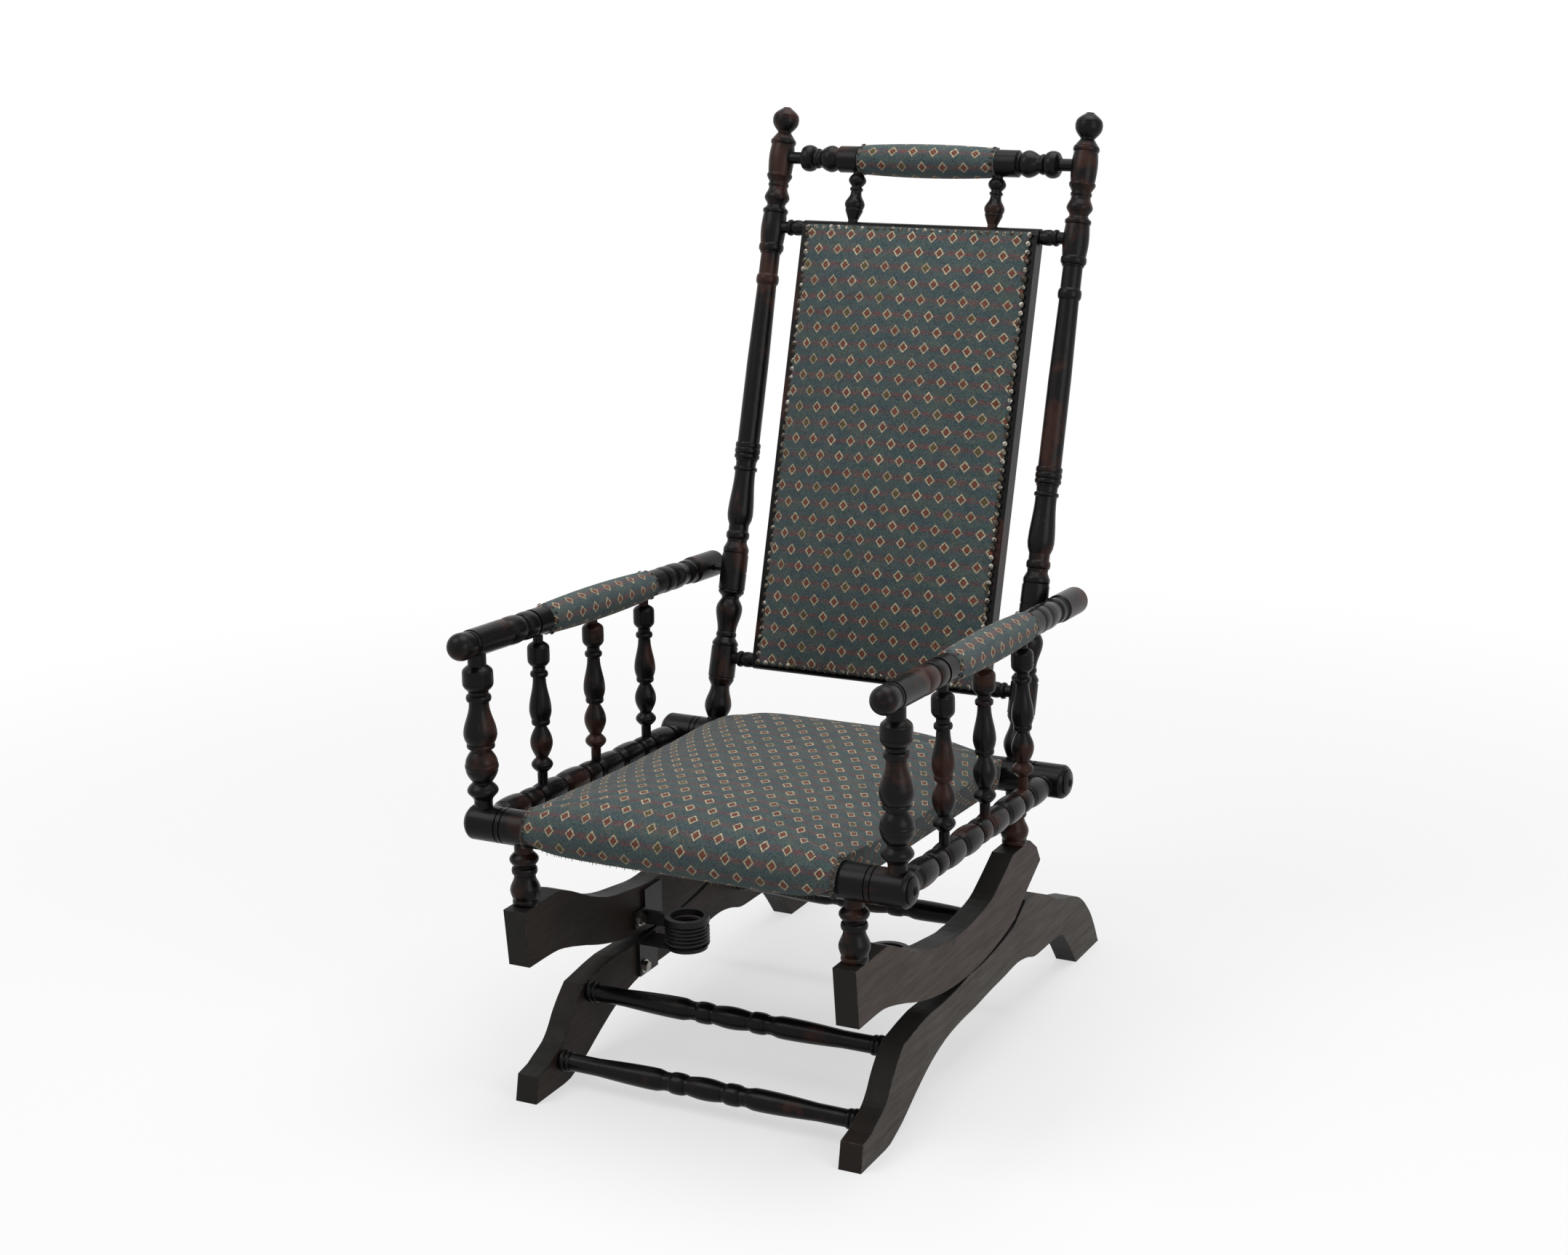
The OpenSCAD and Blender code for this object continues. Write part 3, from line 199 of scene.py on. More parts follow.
def makeTurnedWood(name, grain, brownShare):
    material = startMaterial(name)
    fine = noiseAt(stretched(grainScales[grain]), 3.0, 5.0, 0.6)
    place = stretched((1, 1, 1))
    patches = noiseAt(place, 16.0, 4.0, 0.55, 0.3)
    spots = noiseAt(place, 130.0, 3.0, 0.6)
    brown = remap(plus(patches, times(fine, 0.16)), 0.67 - brownShare, 0.79 - brownShare, smooth=True)
    colour = mixColour(brown, turnedWood["black"], turnedWood["brown"])
    scuffs = remap(times(spots, fine), 0.36, 0.48, 0.0, 0.35, smooth=True)
    colour = mixColour(scuffs, colour, turnedWood["worn"])
    rough = remap(plus(fine, patches), 0.6, 1.4, *turnedWood["rough"])
    normal = bumpFrom(fine, 0.0005, 0.35)
    finishMaterial(colour, rough, normal, Specular_IOR_Level=turnedWood["gloss"])
    return material


boardWood = {
    "rocker": {"face": (0.052, 0.036, 0.030, 1), "pale": (0.078, 0.060, 0.052, 1)},
    "base": {"face": (0.052, 0.043, 0.036, 1), "pale": (0.085, 0.077, 0.068, 1)},
    # inner: a dark brown used in the grain and the edges; on the inner faces it is painted shade between the
    # boards
    "inner": (0.024, 0.015, 0.011, 1),
    "edge": (0.0125, 0.0115, 0.0105, 1),
    "wear": (0.16, 0.13, 0.11, 1),
    "gloss": 0.14,
    "knot": (0.2240, -0.1020, 0.1790),
}


def makeBoardWood(name, tones):
    material = startMaterial(name)
    coords = addNode("TexCoord")
    place = coords.outputs["Object"]
    fine = noiseAt(stretched((60, 5, 60)), 3.0, 6.0, 0.62)
    patches = noiseAt(place, 7.0, 4.0, 0.6, 0.4)
    spots = noiseAt(place, 160.0, 2.0, 0.5)
    outward = times(splitUp(coords.outputs["Normal"])[0], splitUp(place)[0])
    face = mixColour(remap(patches, 0.42, 0.68, smooth=True), tones["face"], tones["pale"])
    face = mixColour(remap(fine, 0.35, 0.65, 0.0, 0.45), face, boardWood["inner"])
    # the inner faces, turned towards the other board under the seat, get a darker tone: painted shade between
    # the boards
    inner = mixColour(remap(patches, 0.4, 0.7, 0.0, 0.6), boardWood["inner"], boardWood["edge"])
    edge = mixColour(remap(patches, 0.5, 0.75, 0.0, 0.7), boardWood["edge"], boardWood["inner"])
    colour = mixColour(remap(outward, -0.12, -0.08, 1.0, 0.0), edge, inner)
    colour = mixColour(remap(outward, 0.08, 0.12), colour, face)
    # pale wear along the sharp edges
    geometry = addNode("NewGeometry")
    rounded = addNode("Bevel", {"Radius": 0.0022}, samples=6)
    facing = addNode("VectorMath", {0: rounded.outputs[0], 1: geometry.outputs["Normal"]},
                     operation="DOT_PRODUCT").outputs["Value"]
    wear = times(remap(facing, 0.985, 0.86), remap(spots, 0.42, 0.62, 0.0, 0.8))
    wear = times(wear, remap(patches, 0.38, 0.62, 0.2, 1.0))
    colour = mixColour(wear, colour, boardWood["wear"])
    # one small knot in the face
    off = addNode("VectorMath", {0: place, 1: boardWood["knot"]}, operation="DISTANCE")
    knot = remap(plus(off.outputs["Value"], times(spots, 0.004)), 0.004, 0.0085, 0.85, 0.0, smooth=True)
    colour = mixColour(knot, colour, boardWood["edge"])
    rough = remap(plus(fine, patches), 0.6, 1.4, 0.42, 0.66)
    normal = bumpFrom(fine, 0.0006, 0.3, rounded.outputs[0])
    finishMaterial(colour, rough, normal, Specular_IOR_Level=boardWood["gloss"])
    return material


woods = {
    "upright": makeTurnedWood("ebonisedUpright", "upright", 0.07),
    "across": makeTurnedWood("ebonisedAcross", "across", 0.02),
    "along": makeTurnedWood("ebonisedAlong", "along", 0.04),
    "spindle": makeTurnedWood("ebonisedSpindle", "upright", 0.07),
    "rocker": makeBoardWood("rockerBoard", boardWood["rocker"]),
    "base": makeBoardWood("baseBoard", boardWood["base"]),
}
print("woods made")

# iron, steel and brass

metals = {
    "iron": {"dark": (0.010, 0.010, 0.011, 1), "rust": (0.045, 0.022, 0.013, 1), "rough": (0.45, 0.7)},
    "steel": {"dark": (0.30, 0.29, 0.27, 1), "rust": (0.10, 0.06, 0.04, 1), "rough": (0.28, 0.5)},
    "brass": {"dark": (0.25, 0.235, 0.205, 1), "rust": (0.045, 0.037, 0.028, 1), "rough": (0.26, 0.5)},
    "blackNail": {"dark": (0.05, 0.042, 0.035, 1), "rust": (0.02, 0.016, 0.013, 1), "rough": (0.3, 0.55)},
}


def makeMetal(name, metallic, scale, rustFrom):
    tones = metals[name]
    material = startMaterial(name)
    place = stretched((1, 1, 1))
    patches = noiseAt(place, scale, 4.0, 0.65)
    grit = noiseAt(place, scale * 6, 2.0, 0.5)
    rust = remap(plus(patches, times(grit, 0.2)), rustFrom, rustFrom + 0.18, smooth=True)
    colour = mixColour(rust, tones["dark"], tones["rust"])
    rough = remap(rust, 0.0, 1.0, *tones["rough"])
    finishMaterial(colour, rough, bumpFrom(grit, 0.0004, 0.4), Metallic=metallic)
    return material


iron = makeMetal("iron", 0.35, 60.0, 0.68)
steel = makeMetal("steel", 1.0, 120.0, 0.62)
brass = makeMetal("brass", 1.0, 90.0, 0.47)
blackNail = makeMetal("blackNail", 0.8, 120.0, 0.5)
print("metals made")

# cloth

clothWeave = {
    "columnPitch": 28.3,             # of the diamonds, in millimetres
    "rowPitch": 20.4,
    "halfWidth": 6.5,
    "halfHeight": 7.7,
    "thread": 0.85,
    "teal": (0.046, 0.090, 0.078, 1),
    "blue": (0.062, 0.076, 0.102, 1),
    "olive": (0.104, 0.090, 0.058, 1),
    "plum": (0.135, 0.056, 0.060, 1),
    "cream": (0.50, 0.42, 0.29, 1),
    "rust": (0.175, 0.052, 0.034, 1),
    "moss": (0.105, 0.078, 0.030, 1),
    "gap": (0.030, 0.032, 0.026, 1),
}


def makeDiamondCloth(name):
    material = startMaterial(name)
    uv = addNode("UVMap", uv_map="clothPlace").outputs[0]
    width, height = [times(part, 1 / mm) for part in splitUp(uv)[:2]]
    thread = clothWeave["thread"]
    weft = times(calc("FLOOR", calc("DIVIDE", height, thread)), thread)
    warp = times(calc("FLOOR", calc("DIVIDE", width, thread)), thread)
    across = calc("DIVIDE", warp, clothWeave["columnPitch"])
    up = calc("DIVIDE", weft, clothWeave["rowPitch"])
    row = calc("FLOOR", up)
    across = plus(across, times(calc("FLOORED_MODULO", row, 2.0), 0.5))
    column = calc("FLOOR", across)
    fromMiddle = times(calc("SUBTRACT", calc("FRACT", across), 0.5), clothWeave["columnPitch"])
    fromRow = times(calc("SUBTRACT", calc("FRACT", up), 0.5), clothWeave["rowPitch"])
    diamond = plus(calc("DIVIDE", calc("ABSOLUTE", fromMiddle), clothWeave["halfWidth"]),
                   calc("DIVIDE", calc("ABSOLUTE", fromRow), clothWeave["halfHeight"]))
    # one number for each diamond, and two for each thread
    luck = luckAt(column, row, 7.0)
    speck = luckAt(warp, weft, 3.0)
    luckOfThread = luckAt(weft, warp, 8.0)
    # the ground: teal, blue and olive threads in long weft streaks
    streak = noiseAt(joined(times(warp, 0.05), times(weft, 0.75), 1.0), 1.0, 3.0, 0.7)
    cloud = noiseAt(joined(times(width, 0.03), times(height, 0.06), 5.0), 1.0, 3.0, 0.6)
    pick = plus(times(streak, 0.5), times(speck, 0.5))
    ground = mixColour(remap(pick, 0.42, 0.55), clothWeave["teal"], clothWeave["blue"])
    dull = plus(times(cloud, 0.5), times(speck, 0.5))
    ground = mixColour(remap(dull, 0.62, 0.74), ground, clothWeave["olive"])
    # the dashes between the diamonds of a row
    nearRow = remap(calc("ABSOLUTE", fromRow), 2.6, 4.2, 1.0, 0.0)
    dash = noiseAt(joined(times(warp, 0.10), times(weft, 1.3), 9.0), 1.0, 2.0, 0.6)
    dash = remap(dash, 0.44, 0.56)
    ground = mixColour(times(nearRow, dash, 0.95), ground, clothWeave["plum"])
    # the diamond: a cream outline round a dark line and a rust or moss heart
    heart = mixColour(remap(luck, 0.80, 0.86), clothWeave["rust"], clothWeave["moss"])
    inside = mixColour(remap(diamond, 0.50, 0.56), heart, clothWeave["gap"])
    cream = mixColour(remap(luck, 0.2, 0.9, 0.0, 0.35), clothWeave["cream"], clothWeave["moss"])
    inside = mixColour(remap(diamond, 0.66, 0.71), inside, cream)
    colour = mixColour(remap(diamond, 0.96, 1.02), inside, ground)
    # every thread a little lighter or darker
    shade = remap(luckOfThread, 0.0, 1.0, 0.5, 1.5)
    shade = times(shade, remap(cloud, 0.3, 0.7, 0.88, 1.14))
    colour = mixColour(1.0, colour, greyOf(shade), "MULTIPLY")
    rib = times(waveOf(width, thread), waveOf(height, thread))
    raised = plus(times(rib, 0.35), remap(diamond, 0.94, 1.04, 1.2, 0.0))
    raised = plus(raised, times(speck, 0.4))
    finishMaterial(colour, 0.86, bumpFrom(raised, 0.00022, 0.7), Sheen_Weight=0.12, Sheen_Roughness=0.5,
                   Specular_IOR_Level=0.2)
    return material


plainCloths = {
    "jute": {"pale": (0.20, 0.135, 0.075, 1), "brown": (0.10, 0.066, 0.038, 1),
             "gap": (0.04, 0.026, 0.015, 1), "pitch": (0.0022, 0.0030)},     # of its threads, in metres
    "thread": {"pale": (0.24, 0.19, 0.13, 1), "dark": (0.075, 0.08, 0.065, 1)},
}


def makeJute(name):
    tones = plainCloths["jute"]
    material = startMaterial(name)
    place = stretched((1, 1, 1))
    across, along = splitUp(place)[:2]
    weave = times(waveOf(across, tones["pitch"][0]), waveOf(along, tones["pitch"][1]))
    cloud = noiseAt(place, 30.0, 4.0, 0.6)
    colour = mixColour(remap(cloud, 0.35, 0.7), tones["pale"], tones["brown"])
    colour = mixColour(remap(weave, -1.0, 1.0, 0.5, 0.0), colour, tones["gap"])
    finishMaterial(colour, 0.9, bumpFrom(weave, 0.0004, 0.8), Specular_IOR_Level=0.15)
    return material


def makeThread(name):
    tones = plainCloths["thread"]
    material = startMaterial(name)
    cloud = noiseAt(stretched((1, 1, 1)), 90.0, 3.0, 0.6)
    colour = mixColour(remap(cloud, 0.38, 0.6), tones["pale"], tones["dark"])
    finishMaterial(colour, 0.9, bumpFrom(cloud, 0.0003, 0.5), Specular_IOR_Level=0.15)
    return material


diamondCloth = makeDiamondCloth("diamondCloth")
jute = makeJute("juteWebbing")
frayedThread = makeThread("frayedThread")
print("cloths made")

# shared shaping

nearby = 0.00002                     # metres; points nearer than this are one
stuffing = {"quality": 6, "mass": 0.3, "stretch": 20, "shear": 10, "bending": 1.5}
nailLook = {"tilt": 0.12, "slide": 0.0005, "size": (0.93, 1.05), "sides": 10, "rings": 8}

def addObject(name, data):
    thing = bpy.data.objects.new(name, data)
    bpy.context.scene.collection.objects.link(thing)
    return thing


def toPiece(form, name, material, smooth=True):
    mesh = bpy.data.meshes.new(name)
    form.to_mesh(mesh)
    form.free()
    mesh.shade_smooth() if smooth else mesh.shade_flat()
    mesh.materials.append(material)
    return addObject(name, mesh)


def openEdges(form):
    return [edge for edge in form.edges if edge.is_boundary]


def gridShares(vert):
    return (vert.co.x + 1) / 2, (vert.co.y + 1) / 2


def clothGrid(columns, rows, patternAt):
    form = bmesh.new()
    bmesh.ops.create_grid(form, x_segments=columns, y_segments=rows, size=1)
    places = form.loops.layers.uv.new("clothPlace")
    for face in form.faces:
        for corner in face.loops:
            corner[places].uv = patternAt(*gridShares(corner.vert))
    return form, places


def quiltForm(columns, rows, upper, lower, patternAt):
    # an upper and a lower skin of cloth, joined round their edge; until it is shaped, the lower lies under 0
    form, places = clothGrid(columns, rows, patternAt)
    copied = bmesh.ops.duplicate(form, geom=form.verts[:] + form.edges[:] + form.faces[:])["geom"]
    under = [item for item in copied if isinstance(item, bmesh.types.BMVert)]
    bmesh.ops.translate(form, verts=under, vec=(0, 0, -0.1))
    bmesh.ops.reverse_faces(form, faces=[item for item in copied if isinstance(item, bmesh.types.BMFace)])
    for face in bmesh.ops.bridge_loops(form, edges=openEdges(form))["faces"]:
        # the pattern runs on down the wall by the wall's own height
        for corner in face.loops:
            shares = gridShares(corner.vert)
            place = Vector(patternAt(*shares))
            if corner.vert.co.z < -0.05:
                outward = Vector([at if abs(at) > 0.999 else 0 for at in corner.vert.co.xy])
                place += outward * (upper(*shares) - lower(*shares)).length
            corner[places].uv = place
    for vert in form.verts:
        vert.co = (upper if vert.co.z > -0.05 else lower)(*gridShares(vert))
    bmesh.ops.recalc_face_normals(form, faces=form.faces[:])
    return form


def sleeveForm(columns, rows, shape, patternAt):
    # a closed sleeve: the columns go round it, the rows run out along the cloth and back along the core
    form = clothGrid(columns, rows, patternAt)[0]
    for vert in form.verts:
        vert.co = shape(*gridShares(vert))
    bmesh.ops.remove_doubles(form, verts=form.verts[:], dist=nearby)
    bmesh.ops.recalc_face_normals(form, faces=form.faces[:])
    return form


def swell(piece, isHeld, pressure, frames, limit):
    # cloth filled from inside, held where it is nailed down
    held = piece.vertex_groups.new(name="held")
    held.add([vert.index for vert in piece.data.vertices if isHeld(vert)], 1.0, "REPLACE")
    cloth = piece.modifiers.new("swell", "CLOTH")
    cloth.settings.quality = stuffing["quality"]
    cloth.settings.mass = stuffing["mass"]
    cloth.settings.effector_weights.gravity = 0
    cloth.settings.use_pressure = True
    cloth.settings.uniform_pressure_force = pressure
    cloth.settings.vertex_group_mass = "held"
    cloth.settings.tension_stiffness = stuffing["stretch"]
    cloth.settings.compression_stiffness = stuffing["stretch"]
    cloth.settings.shear_stiffness = stuffing["shear"]
    cloth.settings.bending_stiffness = stuffing["bending"]
    cloth.point_cache.frame_start = 1
    cloth.point_cache.frame_end = frames
    for step in range(1, frames + 1):
        bpy.context.scene.frame_set(step)
    shaped = piece.evaluated_get(bpy.context.evaluated_depsgraph_get())
    moved = [vert.co.copy() for vert in shaped.data.vertices]
    piece.modifiers.remove(cloth)
    furthest = 0.0
    for vert, place in zip(piece.data.vertices, moved):
        step = place - vert.co
        furthest = max(furthest, step.length)
        vert.co = vert.co + step * (limit / max(limit, step.length))
    piece.vertex_groups.clear()
    bpy.context.scene.frame_set(1)
    print("  ", piece.name, "swelled by up to", round(furthest / mm, 1), "mm")


def smoothOut(piece):
    finer = piece.modifiers.new("smoothCloth", "SUBSURF")
    finer.levels = finer.render_levels = 1


def nailTemplate(radius, height):
    form = bmesh.new()
    bmesh.ops.create_uvsphere(form, u_segments=nailLook["sides"], v_segments=nailLook["rings"], radius=radius)
    bmesh.ops.bisect_plane(form, geom=form.verts[:] + form.edges[:] + form.faces[:], plane_co=(0, 0, 0),
                           plane_no=(0, 0, 1), clear_inner=True)
    bmesh.ops.holes_fill(form, edges=openEdges(form), sides=0)
    bmesh.ops.scale(form, vec=(1, 1, height / radius), verts=form.verts[:])
    mesh = bpy.data.meshes.new("nailTemplate")
    form.to_mesh(mesh)
    form.free()
    return mesh


def nailRow(name, places, radius, height, material, seed):
    # places are pairs of a point and the direction that the head faces, in metres
    luck = random.Random(seed)
    template = nailTemplate(radius, height)
    form = bmesh.new()
    for point, facing in places:
        before = len(form.verts)
        form.from_mesh(template)
        form.verts.ensure_lookup_table()
        tilt = Vector([luck.uniform(-nailLook["tilt"], nailLook["tilt"]) for axis in range(3)])
        turn = (Vector(facing) + tilt).to_track_quat("Z", "Y").to_matrix().to_4x4()
        slide = Vector([luck.uniform(-nailLook["slide"], nailLook["slide"]) for axis in range(3)])
        size = Matrix.Scale(luck.uniform(*nailLook["size"]), 4)
        bmesh.ops.transform(form, matrix=Matrix.Translation(Vector(point) + slide) @ turn @ size,
                            verts=form.verts[before:])
    bpy.data.meshes.remove(template)
    return toPiece(form, name, material)


# the seat

seat = {
    "frontWidth": 396.0,
    "rearWidth": 404.0,
    "flareShare": 0.25,              # of the depth, over which it widens
    "crown": 41.0,
    "lift": 11.0,                    # of the cloth over the front rail
    "liftPower": 3,
    "brow": 5.0,
    "browShare": 0.06,               # of the depth, over which the brow rises
    "rearRise": 4.5,
    "rearPower": 24,
    "rearGap": 0.1,
    "cover": 4.3,
    "coverGap": 0.5,
    "coverOnRoll": 5.0,              # from the roll to the cloth, where the pattern is measured
    "fillShare": 0.5,
    "edgePower": 5,
    "cornerPower": 6,
    "lipAngle": 62.0,
    "facetHalf": 12.1,               # degrees, half of one facet of the solid cushion's roll
    "depth": 34.6,
    "drawShare": 0.98,               # of the width, to which the lower skin is drawn in
    "sag": 7.0,
    "rollShare": 0.22,               # the share of the rows that goes round the front rail
    "tuckShare": 0.12,               # and of those that tuck under behind it
    "rowPower": 0.9,
    "columns": 66,
    "rows": 84,
    "pressure": 4.0,
    "frames": 20,
    "limit": 0.007,
    "hold": 3.0,                     # nailed down this far in from the edges
    "patternStart": (10.4 - clothWeave["columnPitch"] / 2, 2.8),
}
rollRadius = (chair["railRadius"] + seat["coverGap"]) / math.cos(math.radians(seat["facetHalf"]))
seatRear = chair["rearRail"][0] - chair["railRadius"]


def seatAcross(s):
    # from -1 to 1, with the columns closer at the sides
    return math.sin(math.pi / 2 * (2 * s - 1))


def seatEdge(u):
    return 1 - abs(u) ** seat["edgePower"]


def seatHalfWidth(v):
    return blendOf(seat["frontWidth"], seat["rearWidth"], easeOf(min(1, v / seat["flareShare"]))) / 2


def frameHeight(y):
    front, rear = chair["frontRail"], chair["rearRail"]
    return blendOf(front[1], rear[1], (y - front[0]) / (rear[0] - front[0]))


def seatRoll(x, radius, angle):
    y, z = chair["frontRail"]
    return Vector((x, y - radius * math.cos(angle), z + radius * math.sin(angle))) * mm


def seatAngle(u, turn):
    low = -seat["lipAngle"] * (1 - abs(u) ** seat["cornerPower"])
    return math.radians(blendOf(low, 90, turn))


def seatTop(u, v):
    front, rear = chair["frontRail"], chair["rearRail"]
    y = blendOf(front[0], seatRear - seat["rearGap"], v)
    edge = blendOf(front[1] + rollRadius + seat["cover"], rear[1] + chair["railRadius"] + seat["rearRise"], v)
    edge -= seat["sag"] * math.sin(math.pi * v) * (1 - seatEdge(u))
    brow = seat["brow"] * math.sin(math.pi / 2 * min(1, v / seat["browShare"]))
    rest = (seat["crown"] - seat["lift"] - seat["brow"]) * v
    crown = (seat["lift"] + brow + rest) * (1 - v ** seat["rearPower"])
    fill = seat["cover"] * seat["fillShare"] * (1 - v)
    return Vector((seatHalfWidth(v) * u, y, edge + seatEdge(u) * (fill + crown)))


def seatUpper(s, t):
    u = seatAcross(s)
    if t < seat["rollShare"]:
        turn = t / seat["rollShare"]
        cover = seat["cover"] * (1 + seatEdge(u) * seat["fillShare"] * turn)
        radius = rollRadius + cover + seat["lift"] * seatEdge(u) * turn ** seat["liftPower"]
        return seatRoll(seat["frontWidth"] / 2 * u, radius, seatAngle(u, turn))
    return seatTop(u, easeOf((t - seat["rollShare"]) / (1 - seat["rollShare"])) ** seat["rowPower"]) * mm


def seatLower(s, t):
    u = seatAcross(s)
    x = seat["frontWidth"] / 2 * u
    tuck = (t - seat["rollShare"]) / seat["tuckShare"]
    if tuck <= 0:
        return seatRoll(x, rollRadius, seatAngle(u, t / seat["rollShare"]))
    if tuck <= 1:
        return seatRoll(x, rollRadius, math.radians(90 + 90 * tuck))
    start = seat["rollShare"] + seat["tuckShare"]
    v = (t - start) / (1 - start)
    y = blendOf(chair["frontRail"][0] + rollRadius, seatRear - seat["rearGap"], v)
    return Vector((seatHalfWidth(v) * u * seat["drawShare"], y,
                   frameHeight(y) + rollRadius - seat["depth"])) * mm


def rollLength(angle):
    # along the cloth from the front of the roll, with the lift of its stuffing
    low, steps, length = math.radians(seat["lipAngle"]), 16, 0.0
    for k in range(steps):
        here = angle * (k + 0.5) / steps
        turn = (here + low) / (math.pi / 2 + low)
        radius = rollRadius + seat["coverOnRoll"] + seat["lift"] * turn ** seat["liftPower"]
        length += radius * angle / steps
    return length


def seatPattern(s, t):
    # the cloth's own measure: across the seat, and along it from the front of the rail
    u = seatAcross(s)
    here, middle = seatUpper(s, t) / mm, seatUpper(0.5, t) / mm
    x = here.x + math.copysign(max(0.0, middle.z - here.z), u)      # down the sides too
    if t < seat["rollShare"]:
        along = rollLength(seatAngle(u, t / seat["rollShare"]))
    else:
        along = rollLength(math.pi / 2)
        steps = 24
        last = seatUpper(0.5, seat["rollShare"])
        for k in range(1, steps + 1):
            here = seatUpper(0.5, blendOf(seat["rollShare"], t, k / steps))
            along += (here - last).length / mm
            last = here
    return ((x - seat["patternStart"][0]) * mm, (along - seat["patternStart"][1]) * mm)


seatCover = toPiece(quiltForm(seat["columns"], seat["rows"], seatUpper, seatLower, seatPattern), "seatCover",
                    diamondCloth)
seatHeldLimit = (seat["columns"] + 1) * (seat["rows"] + 1)


def seatHeld(vert):
    x, y, z = vert.co / mm
    if vert.index >= seatHeldLimit:                      # the lower skin
        return True
    roll = Vector((y - chair["frontRail"][0], z - chair["frontRail"][1]))
    if y < chair["frontRail"][0] and roll.length < rollRadius + seat["cover"] + seat["hold"]:
        return True
    return abs(x) > seatHalfWidth(0.5) - seat["hold"] or y > seatRear - seat["hold"]


swell(seatCover, seatHeld, seat["pressure"], seat["frames"], seat["limit"])
smoothOut(seatCover)
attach(seatCover, "rocker")
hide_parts("seat_cushion")
print("seat made")

# the back pad

backPad = {
    "width": 306.0,
    "bottom": chair["backBottom"] - 4,
    "top": chair["backTop"] + 4,
    "behind": 10.6,
    "edge": 3.2,
    "crown": 20.0,
    "rise": (3.4, 0.8),              # powers: how square its crown is, and how steep at the edge
    "columns": 50,
    "rows": 90,
    "pressure": 4.0,
    "frames": 20,
    "limit": 0.0045,
    "hold": 5.0,
    "patternStart": (-4.6 - clothWeave["columnPitch"] / 2, 574.5 - clothWeave["rowPitch"] / 2),
}


def padRise(share):
    square, steep = backPad["rise"]
    return max(0.0, 1 - abs(2 * share - 1) ** square) ** steep


def backUpper(s, t, ahead=None):
    if ahead is None:
        ahead = backPad["behind"] + backPad["edge"] + backPad["crown"] * padRise(s) * padRise(t)
    return backPlace(backPad["width"] * (s - 0.5), blendOf(backPad["bottom"], backPad["top"], t), ahead)


def backLower(s, t):
    return backUpper(s, t, backPad["behind"])


def backPattern(s, t):
    x = backPad["width"] * (s - 0.5)
    up = blendOf(backPad["bottom"], backPad["top"], t)
    return ((x - backPad["patternStart"][0]) * mm, (up - backPad["patternStart"][1]) * mm)


backCushion = toPiece(quiltForm(backPad["columns"], backPad["rows"], backUpper, backLower, backPattern),
                      "backCushion", diamondCloth)
backHeldLimit = (backPad["columns"] + 1) * (backPad["rows"] + 1)


def backHeld(vert):
    if vert.index >= backHeldLimit:                      # the lower skin
        return True
    off = vert.co / mm - Vector((0, *chair["rearRail"]))
    up = off.dot(leanUp)
    return (abs(off.x) > backPad["width"] / 2 - backPad["hold"] or up < backPad["bottom"] + backPad["hold"]
            or up > backPad["top"] - backPad["hold"])


swell(backCushion, backHeld, backPad["pressure"], backPad["frames"], backPad["limit"])
smoothOut(backCushion)
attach(backCushion, "rocker")
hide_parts("back_pad")

backNails = {"spacing": 10.9, "inset": 0.8, "lowInset": 3.0, "highInset": 4.0, "radius": 0.0040,
             "height": 0.0024, "ahead": 13.6, "turnOut": 0.25, "seed": 11}
nailPlaces = []
halfWide = backPad["width"] / 2 - backNails["inset"]
lowUp, highUp = backPad["bottom"] + backNails["lowInset"], backPad["top"] - backNails["highInset"]
acrossCount = round(2 * halfWide / backNails["spacing"])
upCount = round((highUp - lowUp) / backNails["spacing"])
for k in range(acrossCount + 1):
    x = blendOf(-halfWide, halfWide, k / acrossCount)
    for up in (lowUp, highUp):
        nailPlaces.append((backPlace(x, up, backNails["ahead"]), leanAhead))
for k in range(1, upCount):
    up = blendOf(lowUp, highUp, k / upCount)
    for side in (-1, 1):
        nailPlaces.append((backPlace(side * halfWide, up, backNails["ahead"]),
                           leanAhead + Vector((side * backNails["turnOut"], 0, 0))))
backNailHeads = nailRow("backNails", nailPlaces, backNails["radius"], backNails["height"], brass,
                        backNails["seed"])
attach(backNailHeads, "rocker")
print("back made,", len(nailPlaces), "nails")

# the cloth behind the back

backLining = {"thick": 1.0, "sag": 5.0, "behind": 11.8, "columns": 24, "rows": 44}
liningSize = (backPad["width"], backPad["top"] - backPad["bottom"])


def liningAt(s, t, extra=0.0):
    hollow = math.sin(math.pi * s) * math.sin(math.pi * t)
    return backPlace(liningSize[0] * (s - 0.5), blendOf(backPad["bottom"], backPad["top"], t),
                     -backLining["behind"] - extra + backLining["sag"] * hollow)


def liningBehind(s, t):
    return liningAt(s, t, backLining["thick"])


lining = toPiece(quiltForm(backLining["columns"], backLining["rows"], liningAt, liningBehind, backPattern),
                 "backLining", diamondCloth)
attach(lining, "rocker")
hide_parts("back_cover")
print("lining made")

# padded sleeves of the crest and the arms

armShape = {"frontZ": 552.0, "rearZ": 519.0, "frontY": -373.0, "rearY": 214.0, "frontSpacing": 524.0,
            "rearSpacing": 505.0, "radius": 16.5, "tipShare": 0.97, "padStart": 0.308, "padEnd": 0.709}
sleeves = {
    "around": 40,
    "along": 34,
    "crestLength": 191.0,
    "crestRadius": 22.4,
    "crestCore": 14.5,
    "crestPattern": (1.3, 1.2),
    "armRadius": 22.0,
    "armCore": 14.0,
    "gap": 0.9,
    "endShare": 0.85,                # of the full radius, where a sleeve ends
    "shrink": 1.0,
    "rows": (0.04, 0.86, 0.90),      # shares at which the cloth starts and ends, and the core starts
    "pressure": 3.0,
    "frames": 14,
    "limit": 0.0012,
    "hold": 3.0,
    "coreHold": 1.0,
    "nails": {"inset": 4.0, "spacing": 9.5, "radius": 0.0028, "height": 0.0014, "seed": 5},
}


